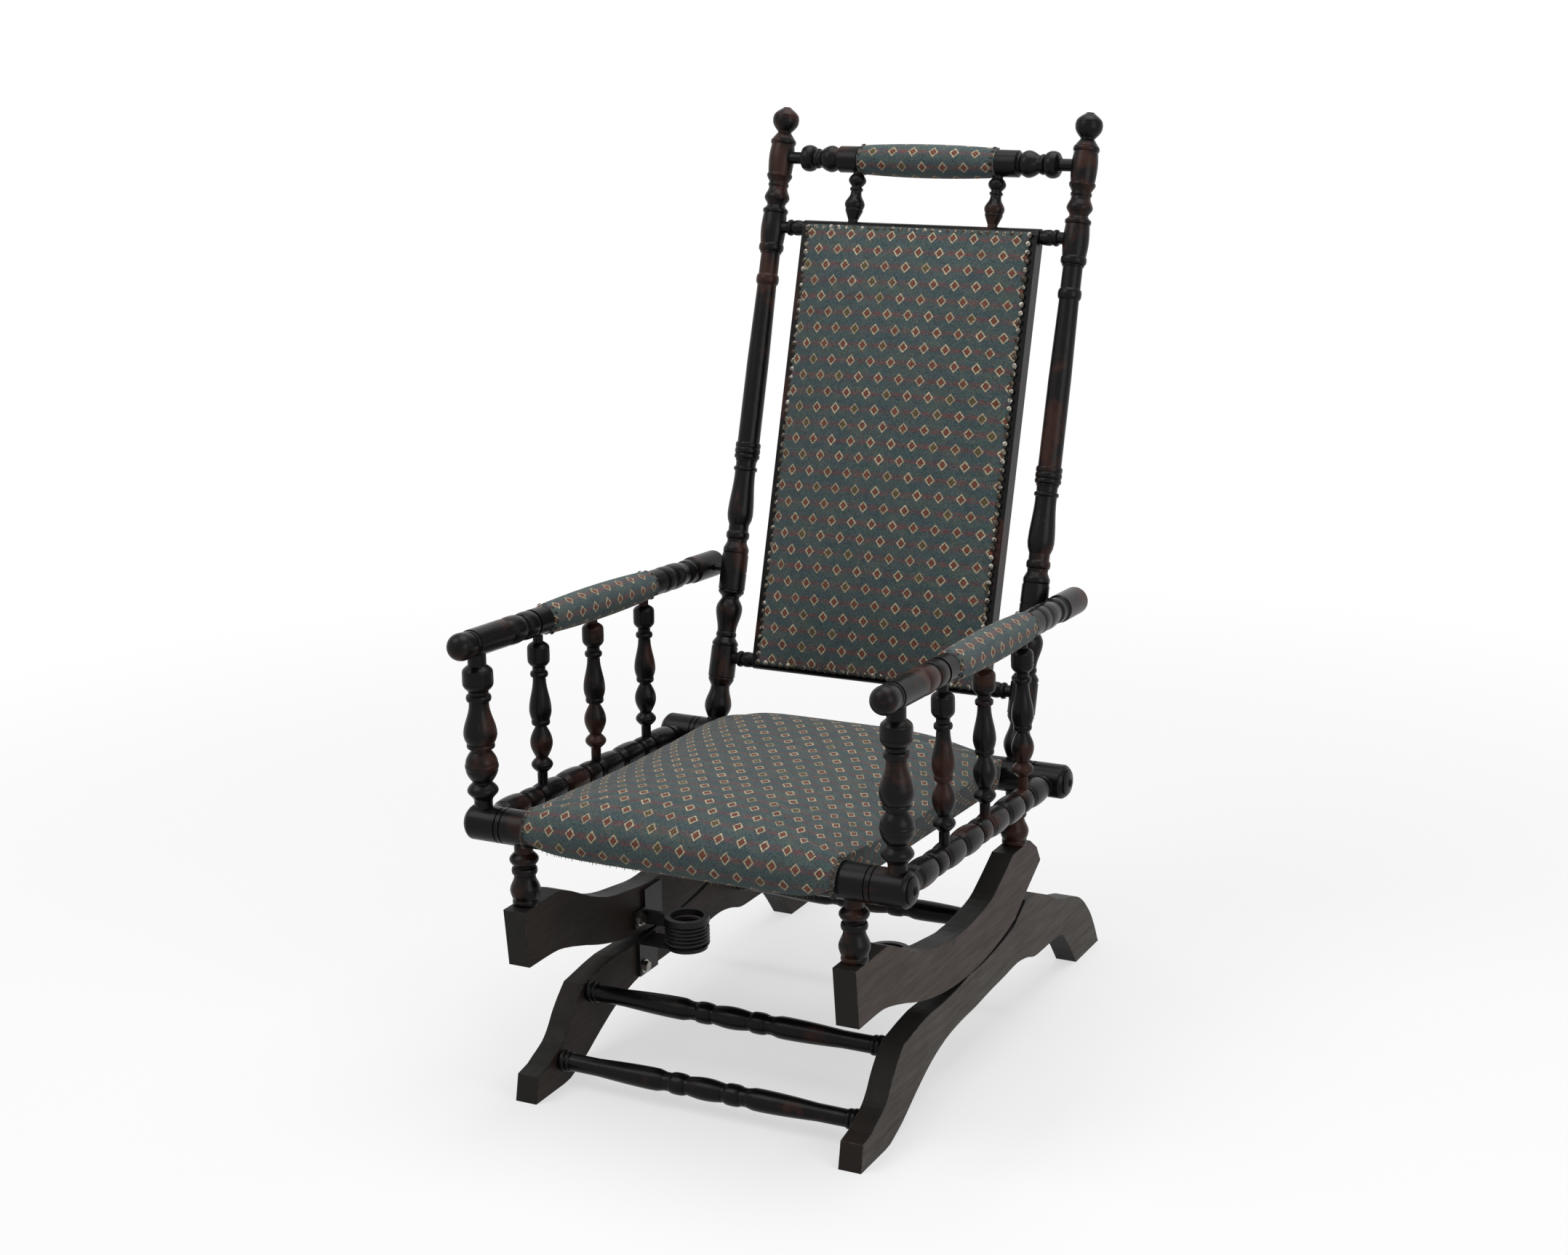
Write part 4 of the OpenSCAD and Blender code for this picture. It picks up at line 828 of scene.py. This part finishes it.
def armPlace(side, y):
    share = (y - armShape["frontY"]) / (armShape["rearY"] - armShape["frontY"])
    return Vector((side * blendOf(armShape["frontSpacing"], armShape["rearSpacing"], share) / 2, y,
                   blendOf(armShape["frontZ"], armShape["rearZ"], share)))


def makeSleeve(name, start, end, core, full, patternStart, seamFacing):
    # start and end in millimetres; the seam faces away from view
    length = (end - start).length
    axis = (end - start).normalized()
    seam = (seamFacing - axis * seamFacing.dot(axis)).normalized()
    side = axis.cross(seam)
    gap, nails = sleeves["gap"], sleeves["nails"]
    clothFrom, clothTo, coreFrom = sleeves["rows"]

    def radiusAt(share):
        return full * blendOf(sleeves["endShare"], 1.0, math.sin(math.pi * share) ** 0.75) - sleeves["shrink"]

    def profile(t):
        # out from the core, along the cloth, and back along the core
        if t < clothFrom:
            return gap, blendOf(core, radiusAt(0), t / clothFrom)
        if t <= clothTo:
            share = (t - clothFrom) / (clothTo - clothFrom)
            return blendOf(gap, length - gap, share), radiusAt(share)
        if t <= coreFrom:
            return length - gap, blendOf(radiusAt(1), core, (t - clothTo) / (coreFrom - clothTo))
        return blendOf(length - gap, gap, (t - coreFrom) / (1 - coreFrom)), core

    def shape(s, t):
        far, radius = profile(t)
        turn = 2 * math.pi * s
        return (start + axis * far + (seam * math.cos(turn) + side * math.sin(turn)) * radius) * mm

    def pattern(s, t):
        far, radius = profile(min(max(t, clothFrom), clothTo))
        turned = (s - 0.5) * 2 * math.pi * (full - sleeves["shrink"])
        return ((far - patternStart[0]) * mm, (turned - patternStart[1]) * mm)

    piece = toPiece(sleeveForm(sleeves["around"], sleeves["along"] * 2, shape, pattern), name, diamondCloth)
    middle = start * mm

    def held(vert):
        off = vert.co - middle
        far = off.dot(axis)
        atEnd = far < (gap + sleeves["hold"]) * mm or far > (length - gap - sleeves["hold"]) * mm
        return atEnd or (off - axis * far).length < (core + sleeves["coreHold"]) * mm

    swell(piece, held, sleeves["pressure"], sleeves["frames"], sleeves["limit"])
    smoothOut(piece)
    nailsAt = []
    count = round(2 * math.pi * full * sleeves["endShare"] / nails["spacing"])
    for far in (gap + nails["inset"], length - gap - nails["inset"]):
        reach = radiusAt((far - gap) / (length - 2 * gap))
        for k in range(count):
            turn = 2 * math.pi * k / count
            out = seam * math.cos(turn) + side * math.sin(turn)
            nailsAt.append(((start + axis * far + out * reach) * mm, out))
    heads = nailRow(name + "Nails", nailsAt, nails["radius"], nails["height"], blackNail, nails["seed"])
    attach(piece, "rocker")
    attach(heads, "rocker")
    return piece


crestHalf = sleeves["crestLength"] / 2
crestPatternStart = (crestHalf - sleeves["crestPattern"][0] - clothWeave["columnPitch"] / 2,
                     sleeves["crestPattern"][1])
crestCloth = makeSleeve("crestCushion", backPlace(-crestHalf, chair["crest"]) / mm,
                        backPlace(crestHalf, chair["crest"]) / mm, sleeves["crestCore"],
                        sleeves["crestRadius"], crestPatternStart, -leanAhead)
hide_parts("crest_pad")
for side, name in ((-1, "left"), (1, "right")):
    tip = armPlace(side, armShape["frontY"])
    tail = armPlace(side, armShape["rearY"])
    axis = (tail - tip).normalized()
    tip = tip - axis * armShape["radius"] * armShape["tipShare"]
    length = (tail - tip).length
    armCloth = makeSleeve("armCushion" + name.title(), tip + axis * length * armShape["padStart"],
                          tip + axis * length * armShape["padEnd"], sleeves["armCore"], sleeves["armRadius"],
                          (0.0, 0.0), Vector((0, 0, -1)))
    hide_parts("arm_pad_" + name)
print("crest and arm pads made")

# nails at the seat's front corners and its frayed hem

seatNails = {"count": 10, "radius": 0.0032, "height": 0.0016, "from": -30, "to": 95, "inset": 2.5,
             "turnOut": 0.3, "sunk": 0.2, "seed": 23}
cornerPlaces = []
for side in (-1, 1):
    for k in range(seatNails["count"]):
        angle = math.radians(blendOf(seatNails["from"], seatNails["to"], k / (seatNails["count"] - 1)))
        x = side * (seat["frontWidth"] / 2 - seatNails["inset"])
        out = Vector((side * seatNails["turnOut"], -math.cos(angle), math.sin(angle)))
        cornerPlaces.append((seatRoll(x, rollRadius + seat["cover"] - seatNails["sunk"], angle), out))
cornerNails = nailRow("seatCornerNails", cornerPlaces, seatNails["radius"], seatNails["height"], blackNail,
                      seatNails["seed"])
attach(cornerNails, "rocker")

hem = {
    "threads": 150,
    "span": (-0.93, 0.95),
    "jitter": 0.4,
    "inCover": (0.25, 1.0),
    "length": (1.5, 4.5),
    "aside": 0.6,
    "inward": (-0.1, 0.5),
    "thick": 0.00042,
    "taper": 0.6,
    "sunk": 0.4,
    "seed": 31,
}


def makeFrayedHem():
    luck = random.Random(hem["seed"])
    form = bmesh.new()
    for k in range(hem["threads"]):
        u = blendOf(*hem["span"], (k + luck.uniform(-hem["jitter"], hem["jitter"])) / hem["threads"])
        radius = rollRadius + seat["cover"] * luck.uniform(*hem["inCover"])
        root = seatRoll(seat["frontWidth"] / 2 * u, radius, seatAngle(u, 0.0))
        down = Vector((luck.uniform(-hem["aside"], hem["aside"]), luck.uniform(*hem["inward"]),
                       -1.0)).normalized()
        reach = luck.uniform(*hem["length"]) * mm
        before = len(form.verts)
        bmesh.ops.create_cone(form, cap_ends=True, segments=5, radius1=hem["thick"],
                              radius2=hem["thick"] * hem["taper"], depth=reach)
        form.verts.ensure_lookup_table()
        turn = down.to_track_quat("Z", "Y").to_matrix().to_4x4()
        bmesh.ops.transform(form, matrix=Matrix.Translation(root + down * reach * hem["sunk"]) @ turn,
                            verts=form.verts[before:])
    return toPiece(form, "seatFrayedHem", frayedThread)


frayedHem = makeFrayedHem()
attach(frayedHem, "rocker")
print("hem and corner nails made")

# straps under the seat

straps = {"count": 5, "width": 44.0, "thick": 1.6, "sag": 3.0, "spread": 396.0, "endInset": 17.5, "gap": 0.5,
          "columns": 8, "rows": 40}


def makeStraps():
    form = bmesh.new()
    front, rear = chair["frontRail"], chair["rearRail"]
    drop = rollRadius - seat["depth"] - straps["gap"]
    pitch = straps["spread"] / straps["count"]
    for k in range(straps["count"]):
        before = len(form.verts)
        bmesh.ops.create_grid(form, x_segments=straps["columns"], y_segments=straps["rows"], size=1)
        form.verts.ensure_lookup_table()
        middle = (k - (straps["count"] - 1) / 2) * pitch
        for vert in form.verts[before:]:
            share = (vert.co.y + 1) / 2
            y = blendOf(front[0] + straps["endInset"], rear[0] - straps["endInset"], share)
            vert.co = Vector((middle + vert.co.x * straps["width"] / 2, y,
                              frameHeight(y) + drop - straps["sag"] * math.sin(math.pi * share))) * mm
    bmesh.ops.solidify(form, geom=form.faces[:], thickness=straps["thick"] * mm)
    bmesh.ops.recalc_face_normals(form, faces=form.faces[:])
    return toPiece(form, "seatStraps", jute)


seatStraps = makeStraps()
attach(seatStraps, "rocker")
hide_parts("seat_webbing")
print("straps made")

# coil springs

coil = {"radius": 25.7, "wire": 4.6, "foot": 114.0, "height": 30.0, "turns": 5, "reach": 136.0, "y": -97.0,
        "clear": 0.4, "hold": 3, "stepsPerTurn": 24, "wireSides": 10}


def makeCoil(name, side):
    form = bmesh.new()
    ring = bmesh.ops.create_circle(form, segments=coil["wireSides"], radius=coil["wire"] / 2 * mm)["verts"]
    bmesh.ops.rotate(form, verts=ring, cent=(0, 0, 0), matrix=Matrix.Rotation(math.pi / 2, 3, "X"))
    centre = Vector((side * coil["reach"], coil["y"], 0)) * mm
    low = coil["foot"] + coil["wire"] / 2 + coil["clear"]
    rise = coil["height"] - coil["wire"] - 2 * coil["clear"]
    bmesh.ops.translate(form, verts=ring, vec=centre + Vector((coil["radius"], 0, low)) * mm)
    steps = coil["turns"] * coil["stepsPerTurn"]
    bmesh.ops.spin(form, geom=form.verts[:] + form.edges[:], cent=centre, axis=(0, 0, 1),
                   angle=2 * math.pi * coil["turns"], steps=steps, dvec=(0, 0, rise * mm / steps),
                   use_merge=False)
    bmesh.ops.holes_fill(form, edges=openEdges(form), sides=0)
    bmesh.ops.recalc_face_normals(form, faces=form.faces[:])
    return toPiece(form, name, iron)


for side, name in ((-1, "left"), (1, "right")):
    spring = makeCoil("coilSpring" + name.title(), side)
    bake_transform(spring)
    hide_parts("spring_coil_" + name)
print("springs made")

# turned pieces

# A feature is its kind, its share of the length, and radii as shares of the largest: the first and last of a
# plain one, the first and widest of a bead, and of the others the first, widest and last and where the widest
# lies. Tenons are in millimetres, and bothWays says that the features are one half of the piece.
turnedShapes = {
    "backPost": {"starts": ("back_post",), "axis": "Z", "wood": "upright", "around": 36, "radius": 17.4,
        "tenons": (9, 0), "neck": 0.66, "features": [
        ["plain", 1.5, 0.66, 0.66], ["bulb", 41, 0.66, 1.0, 0.69, 0.39], ["plain", 7, 0.69, 0.92],
        ["bead", 5, 0.90, 0.95], ["plain", 39, 0.99, 0.98], ["plain", 1.5, 0.93, 0.93],
        ["bead", 5, 0.92, 0.97], ["plain", 6, 0.93, 0.70], ["bead", 7, 0.69, 0.76],
        ["vase", 43, 0.69, 0.985, 0.66, 0.70], ["plain", 3, 0.66, 0.66], ["plain", 4, 0.68, 0.90],
        ["bead", 5, 0.88, 0.96], ["plain", 22, 0.98, 0.985], ["plain", 1.5, 0.94, 0.94],
        ["plain", 22, 0.985, 0.975], ["plain", 2, 0.94, 0.94], ["bead", 8, 0.90, 0.955],
        ["plain", 6, 0.90, 0.74], ["plain", 4, 0.735, 0.75], ["bead", 11, 0.75, 0.865],
        ["plain", 8, 0.745, 0.745], ["bulb", 67, 0.75, 0.96, 0.765, 0.195], ["plain", 3, 0.77, 0.77],
        ["bead", 6, 0.78, 0.885], ["plain", 7, 0.745, 0.76], ["bead", 3, 0.78, 0.82],
        ["bead", 7, 0.86, 0.945], ["bead", 7, 0.90, 0.95], ["bead", 7, 0.90, 0.945],
        ["plain", 107, 0.83, 0.815], ["plain", 99.5, 0.815, 0.715], ["bead", 14, 0.72, 0.85],
        ["plain", 27, 0.72, 0.71], ["bead", 3, 0.74, 0.80], ["bead", 10, 0.84, 0.93],
        ["egg", 39, 0.85, 0.94, 0.86, 0.5], ["bead", 7, 0.82, 0.945], ["plain", 4, 0.80, 0.665],
        ["swell", 22.5, 0.665, 0.94, 0.70, 0.42], ["plain", 1.5, 0.69, 0.69], ["bead", 5, 0.70, 0.765],
        ["plain", 1.5, 0.71, 0.71], ["plain", 5.5, 0.72, 0.91], ["bead", 5, 0.89, 0.95],
        ["egg", 38, 0.87, 0.95, 0.855, 0.55], ["bead", 7, 0.85, 0.945], ["plain", 8.5, 0.86, 0.51],
        ["plain", 1.5, 0.505, 0.505], ["egg", 14, 0.51, 0.975, 0.975, 0.97], ["plain", 0.8, 0.94, 0.94],
        ["plain", 3, 0.98, 0.98], ["plain", 0.8, 0.94, 0.94], ["egg", 11.6, 0.955, 0.955, 0.36, 0.03],
        ["plain", 1.2, 0.32, 0.30],
    ]},
    "armPost": {"starts": ("arm_post",), "axis": "Z", "wood": "upright", "around": 32, "radius": 19.6,
        "tenons": (8, 8), "neck": 0.55, "features": [
        ["plain", 7, 0.55, 0.55], ["vase", 21, 0.56, 0.93, 0.59, 0.55], ["plain", 2, 0.58, 0.58],
        ["egg", 15, 0.62, 0.96, 0.96, 0.97], ["bead", 6, 0.96, 1.0], ["egg", 15, 0.96, 0.96, 0.62, 0.03],
        ["plain", 3, 0.61, 0.61], ["bead", 7, 0.72, 0.84], ["bulb", 47, 0.83, 1.0, 0.59, 0.21],
        ["plain", 2, 0.60, 0.60], ["bead", 9, 0.62, 0.75], ["plain", 4, 0.60, 0.60],
        ["egg", 9, 0.62, 0.91, 0.91, 0.95], ["plain", 1, 0.88, 0.88], ["plain", 12, 0.92, 0.91],
        ["egg", 8, 0.90, 0.90, 0.57, 0.1], ["plain", 13, 0.55, 0.55],
    ]},
    "armSpindle": {"starts": ("arm_spindle",), "axis": "Z", "wood": "spindle", "around": 28, "radius": 13.6,
        "tenons": (8, 8), "neck": 0.45, "features": [
        ["plain", 15, 0.45, 0.45], ["egg", 17, 0.47, 0.96, 0.53, 0.53], ["plain", 1, 0.54, 0.54],
        ["egg", 37, 0.53, 1.0, 0.52, 0.49], ["plain", 3, 0.52, 0.52], ["bead", 7, 0.74, 0.82],
        ["bulb", 49, 0.81, 0.99, 0.58, 0.22], ["plain", 2, 0.57, 0.57], ["bead", 8, 0.60, 0.79],
        ["plain", 5, 0.58, 0.58], ["egg", 8, 0.59, 0.97, 0.97, 0.95], ["plain", 4, 0.98, 0.98],
        ["plain", 1, 0.95, 0.95], ["plain", 10, 0.99, 0.98], ["egg", 7, 0.96, 0.96, 0.48, 0.1],
        ["plain", 10, 0.45, 0.45],
    ]},
    "leg": {"starts": ("leg_",), "axis": "Z", "wood": "upright", "around": 32, "radius": 17.8,
        "tenons": (18, 9), "neck": 0.5, "features": [
        ["bead", 8, 0.80, 0.87], ["bulb", 28, 0.84, 1.0, 0.70, 0.38], ["plain", 1.5, 0.69, 0.69],
        ["bead", 10, 0.71, 0.85], ["plain", 1.5, 0.69, 0.69], ["egg", 15, 0.71, 0.96, 0.66, 0.5],
        ["plain", 8, 0.62, 0.62],
    ]},
    "crestSpindle": {"starts": ("crest_spindle",), "axis": "Z", "wood": "spindle",
        "around": 28, "radius": 12.9, "tenons": (5, 5), "neck": 0.5, "features": [
        ["plain", 3, 0.50, 0.50], ["plain", 9, 0.52, 0.84], ["bead", 4, 0.82, 0.88],
        ["bulb", 18, 0.88, 1.0, 0.55, 0.27], ["plain", 3, 0.54, 0.54], ["bead", 4, 0.56, 0.66],
        ["plain", 2, 0.52, 0.52], ["egg", 13, 0.56, 0.88, 0.60, 0.5], ["plain", 5, 0.50, 0.50],
    ]},
    "arm": {"starts": ("arm_left", "arm_right"), "axis": "Y", "wood": "along", "around": 32, "radius": 17.3,
        "tenons": (0, 0), "neck": 0, "features": [
        ["ball", 31, 0, 0.93, 0.82, 0.5], ["plain", 5, 0.86, 0.90], ["plain", 64, 0.945, 0.955],
        ["plain", 4, 0.93, 0.87], ["bead", 28, 0.87, 0.98], ["plain", 5, 0.83, 0.84],
        ["bead", 22, 0.88, 0.965], ["plain", 1.5, 0.88, 0.88], ["plain", 25.5, 0.955, 0.955],
        ["plain", 242, 0.80, 0.80], ["plain", 26, 0.95, 0.945], ["plain", 3, 0.90, 0.90],
        ["bead", 20, 0.91, 0.97], ["plain", 1.5, 0.93, 0.93], ["bead", 26, 0.90, 0.97],
        ["plain", 10, 0.88, 0.81], ["plain", 4, 0.80, 0.80], ["bead", 16, 0.82, 0.91],
        ["plain", 4, 0.86, 0.88], ["plain", 3, 0.90, 0.98], ["plain", 57, 0.995, 0.985],
        ["egg", 7, 0.985, 0.985, 0.75, 0.1],
    ]},
    "crestRail": {"starts": ("crest_rail",), "axis": "X", "wood": "across", "around": 32, "radius": 17.1,
        "tenons": (8, 8), "neck": 0.455, "bothWays": True, "features": [
        ["plain", 16, 0.455, 0.455], ["bead", 19, 0.62, 1.0], ["bead", 6, 0.68, 0.755],
        ["plain", 3, 0.66, 0.66], ["egg", 23, 0.66, 1.0, 0.74, 0.6], ["plain", 2, 0.74, 0.78],
        ["plain", 2, 0.80, 0.98], ["plain", 26.5, 0.99, 1.0], ["plain", 95.5, 0.84, 0.84],
    ]},
    "stretcher": {"starts": ("stretcher",), "axis": "X", "wood": "across", "around": 28, "radius": 13.4,
        "tenons": (14, 14), "neck": 0.74, "body": "base", "bothWays": True, "features": [
        ["plain", 2, 0.74, 0.74], ["bead", 7, 0.84, 0.97], ["bead", 6, 0.80, 0.90],
        ["plain", 1, 0.76, 0.76], ["plain", 36, 0.775, 0.785], ["egg", 90, 0.785, 1.0, 0.83, 0.86],
        ["plain", 8, 0.825, 0.825], ["bead", 20, 0.87, 0.98], ["plain", 4, 0.81, 0.81],
        ["egg", 22, 0.84, 1.0, 1.0, 0.97],
    ]},
}
turnedSteps = {"plain": 1, "bead": 7, "ball": 14, "egg": 10, "vase": 10, "bulb": 10, "swell": 10}
creaseAngle = math.radians(28)
axisReaches = (0.006, 0.002, 0.0006, 0.0002, 0.0001)     # from a solid's end, ever nearer, in metres
weldReach = 0.000005


def roundOff(share):
    return math.sqrt(max(0.0, 1 - share * share))


def featureRadius(feature, t):
    kind, first, widest = feature[0], feature[2], feature[3]
    if kind == "plain":
        return blendOf(first, widest, t)
    if kind == "bead":
        return blendOf(first, widest, roundOff(2 * t - 1))
    last, peak = feature[4], feature[5]
    before = t < peak
    share = t / peak if before else (1 - t) / (1 - peak)
    if kind == "ball":
        swing = roundOff(1 - share)
    elif kind == "swell" or (kind == "vase" and before) or (kind == "bulb" and not before):
        swing = easeOf(share)
    else:
        swing = math.sin(math.pi / 2 * share)
    return blendOf(first if before else last, widest, swing)


def bothWays(half):
    # the half, and then the half again from its other end
    swapped = {"vase": "bulb", "bulb": "vase"}
    back = []
    for feature in reversed(half):
        kind, length, first, widest = feature[:4]
        if kind == "plain":
            back.append([kind, length, widest, first])
        elif kind == "bead":
            back.append(feature)
        else:
            back.append([swapped.get(kind, kind), length, feature[4], widest, first, 1 - feature[5]])
    return half + back


def solidAxis(node, axis):
    # the middles of a turned solid's two ends
    places = [vert.co for vert in node.data.vertices]
    direction = Vector([float(letter == axis) for letter in "XYZ"])
    for reach in axisReaches:
        along = [place.dot(direction) for place in places]
        ends = []
        for limit in (min(along), max(along)):
            near = [place for place, far in zip(places, along) if abs(far - limit) < reach]
            ends.append(sum(near, Vector()) / len(near))
        direction = (ends[1] - ends[0]).normalized()
    return ends


def turnPiece(name, node, shape):
    start, end = solidAxis(node, shape["axis"])
    direction = (end - start).normalized()
    length = (end - start).length / mm - sum(shape["tenons"])
    features = bothWays(shape["features"]) if shape.get("bothWays") else shape["features"]
    unit = length / sum(feature[1] for feature in features)
    far = float(shape["tenons"][0])
    profile = [(0.0, shape["neck"])] if far > 0 else []
    for feature in features:
        for k in range(turnedSteps[feature[0]] + 1):
            share = k / turnedSteps[feature[0]]
            profile.append((far + feature[1] * unit * share, max(0.0, featureRadius(feature, share))))
        far += feature[1] * unit
    if shape["tenons"][1] > 0:
        profile.append((far + shape["tenons"][1], shape["neck"]))
    form = bmesh.new()
    last = None
    for place, share in profile:
        point = Vector((share * shape["radius"], 0, place)) * mm
        if last is not None and (point - last.co).length < nearby:
            continue
        here = form.verts.new(point)
        if last is not None:
            form.edges.new((last, here))
        last = here
    bmesh.ops.spin(form, geom=form.verts[:] + form.edges[:], cent=(0, 0, 0), axis=(0, 0, 1),
                   angle=2 * math.pi, steps=shape["around"], use_merge=True)
    bmesh.ops.remove_doubles(form, verts=form.verts[:], dist=weldReach)
    bmesh.ops.holes_fill(form, edges=openEdges(form), sides=0)
    bmesh.ops.recalc_face_normals(form, faces=form.faces[:])
    turn = direction.to_track_quat("Z", "Y").to_matrix().to_4x4()
    bmesh.ops.transform(form, matrix=Matrix.Translation(start) @ turn, verts=form.verts[:])
    for edge in form.edges:
        edge.smooth = len(edge.link_faces) == 2 and edge.calc_face_angle(0.0) < creaseAngle
    piece = toPiece(form, name, woods[shape["wood"]])
    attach(piece, shape.get("body", "rocker"))
    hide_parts(node.name)


turnedCount = 0
for shape in turnedShapes.values():
    for nodeName in sorted(nodes):
        if nodeName.startswith(shape["starts"]):
            words = nodeName.split("_")
            turnPiece("turned" + "".join(word.title() for word in words), nodes[nodeName], shape)
            turnedCount += 1
print("turned pieces made:", turnedCount)

# finishes of the solids that stay

finishes = [
    (("base_side",), woods["base"]),
    (("rocker_side",), woods["rocker"]),
    (("back_stile",), woods["upright"]),
    (("seat_rail_left", "seat_rail_right"), woods["along"]),
    (("seat_rail", "back_rail", "arm_dowel"), woods["across"]),
    (("spring_bracket",), iron),
    (("spring_bolt",), steel),
]
for name, node in nodes.items():
    if node.hide_render:
        continue
    for starts, material in finishes:
        if name.startswith(starts):
            node.data.materials.clear()
            node.data.materials.append(material)
            break
    else:
        print("no finish for", name)
print("solids finished")

# floor, lights and camera

studio = {
    "key": {"place": (-1.6, -1.8, 3.3), "size": 2.4, "power": 46},
    "fill": {"place": (3.0, -1.3, 1.5), "size": 2.2, "power": 30},
    "top": {"place": (0.3, 0.4, 3.4), "size": 2.6, "power": 60},
    "aim": (0, 0, 0.5),
    "world": 0.22,
    "floorRadius": 12,
    "floorNear": 0.60,
    "floorFade": (0.7, 2.4),         # metres from the middle, over which the floor turns white
    "floorPlain": (0.5, 0.5, 0.5, 1),
    "lens": 60.16,
    "sensor": 36,
    "clip": (0.1, 60),
    "cameraPlace": (1.3530, -2.7379, 1.3340),
    "cameraRight": (0.8928, 0.4502, -0.0175),
    "cameraBack": (0.4388, -0.8601, 0.2604),
}


def seenDirectly():
    # by the camera, or in metal and through glass
    path = addNode("LightPath")
    return calc("MAXIMUM", path.outputs["Is Camera Ray"], calc("MAXIMUM", path.outputs["Is Glossy Ray"],
                                                               path.outputs["Is Transmission Ray"]))


def makeFloor():
    form = bmesh.new()
    bmesh.ops.create_circle(form, cap_ends=True, segments=64, radius=studio["floorRadius"])
    material = startMaterial("paleFloor")
    place = addNode("TexCoord").outputs["Object"]
    far = addNode("VectorMath", {0: place}, operation="LENGTH").outputs["Value"]
    own = remap(far, *studio["floorFade"], studio["floorNear"], 1.0, smooth=True)
    shaded = addNode("BsdfDiffuse", {"Color": greyOf(calc("SUBTRACT", 1.0, own))})
    glowing = addNode("Emission", {"Color": (1, 1, 1, 1), "Strength": own})
    both = addNode("AddShader", {0: shaded.outputs[0], 1: glowing.outputs[0]})
    plain = addNode("BsdfDiffuse", {"Color": studio["floorPlain"]})
    choose = addNode("MixShader", {0: seenDirectly(), 1: plain.outputs[0], 2: both.outputs[0]})
    addNode("OutputMaterial", {"Surface": choose.outputs[0]})
    return toPiece(form, "studioFloor", material, smooth=False)


def makeWorld():
    world = startTree(bpy.data.worlds.new("studioWorld"))
    strength = remap(seenDirectly(), 0.0, 1.0, studio["world"], 1.0)
    glow = addNode("Background", {"Color": (1, 1, 1, 1), "Strength": strength})
    addNode("OutputWorld", {"Surface": glow.outputs[0]})
    bpy.context.scene.world = world


def makeLight(name, settings):
    data = bpy.data.lights.new(name, "AREA")
    data.shape = "DISK"
    data.size = settings["size"]
    data.energy = settings["power"]
    light = addObject(name, data)
    light.location = settings["place"]
    aim = Vector(studio["aim"]) - Vector(settings["place"])
    light.rotation_euler = aim.to_track_quat("-Z", "Y").to_euler()


def makeCamera():
    data = bpy.data.cameras.new("photoCamera")
    data.lens = studio["lens"]
    data.sensor_width = studio["sensor"]
    data.clip_start, data.clip_end = studio["clip"]
    camera = addObject("photoCamera", data)
    right = Vector(studio["cameraRight"]).normalized()
    back = Vector(studio["cameraBack"])
    back = (back - right * back.dot(right)).normalized()
    turn = Matrix((right, back.cross(right), back)).transposed().to_4x4()
    camera.matrix_world = Matrix.Translation(studio["cameraPlace"]) @ turn
    bpy.context.scene.camera = camera


makeFloor()
makeWorld()
for name in ("key", "fill", "top"):
    makeLight(name + "Light", studio[name])
makeCamera()
bpy.context.scene.view_settings.view_transform = "Standard"
print("studio made")

bpy.context.view_layer.update()
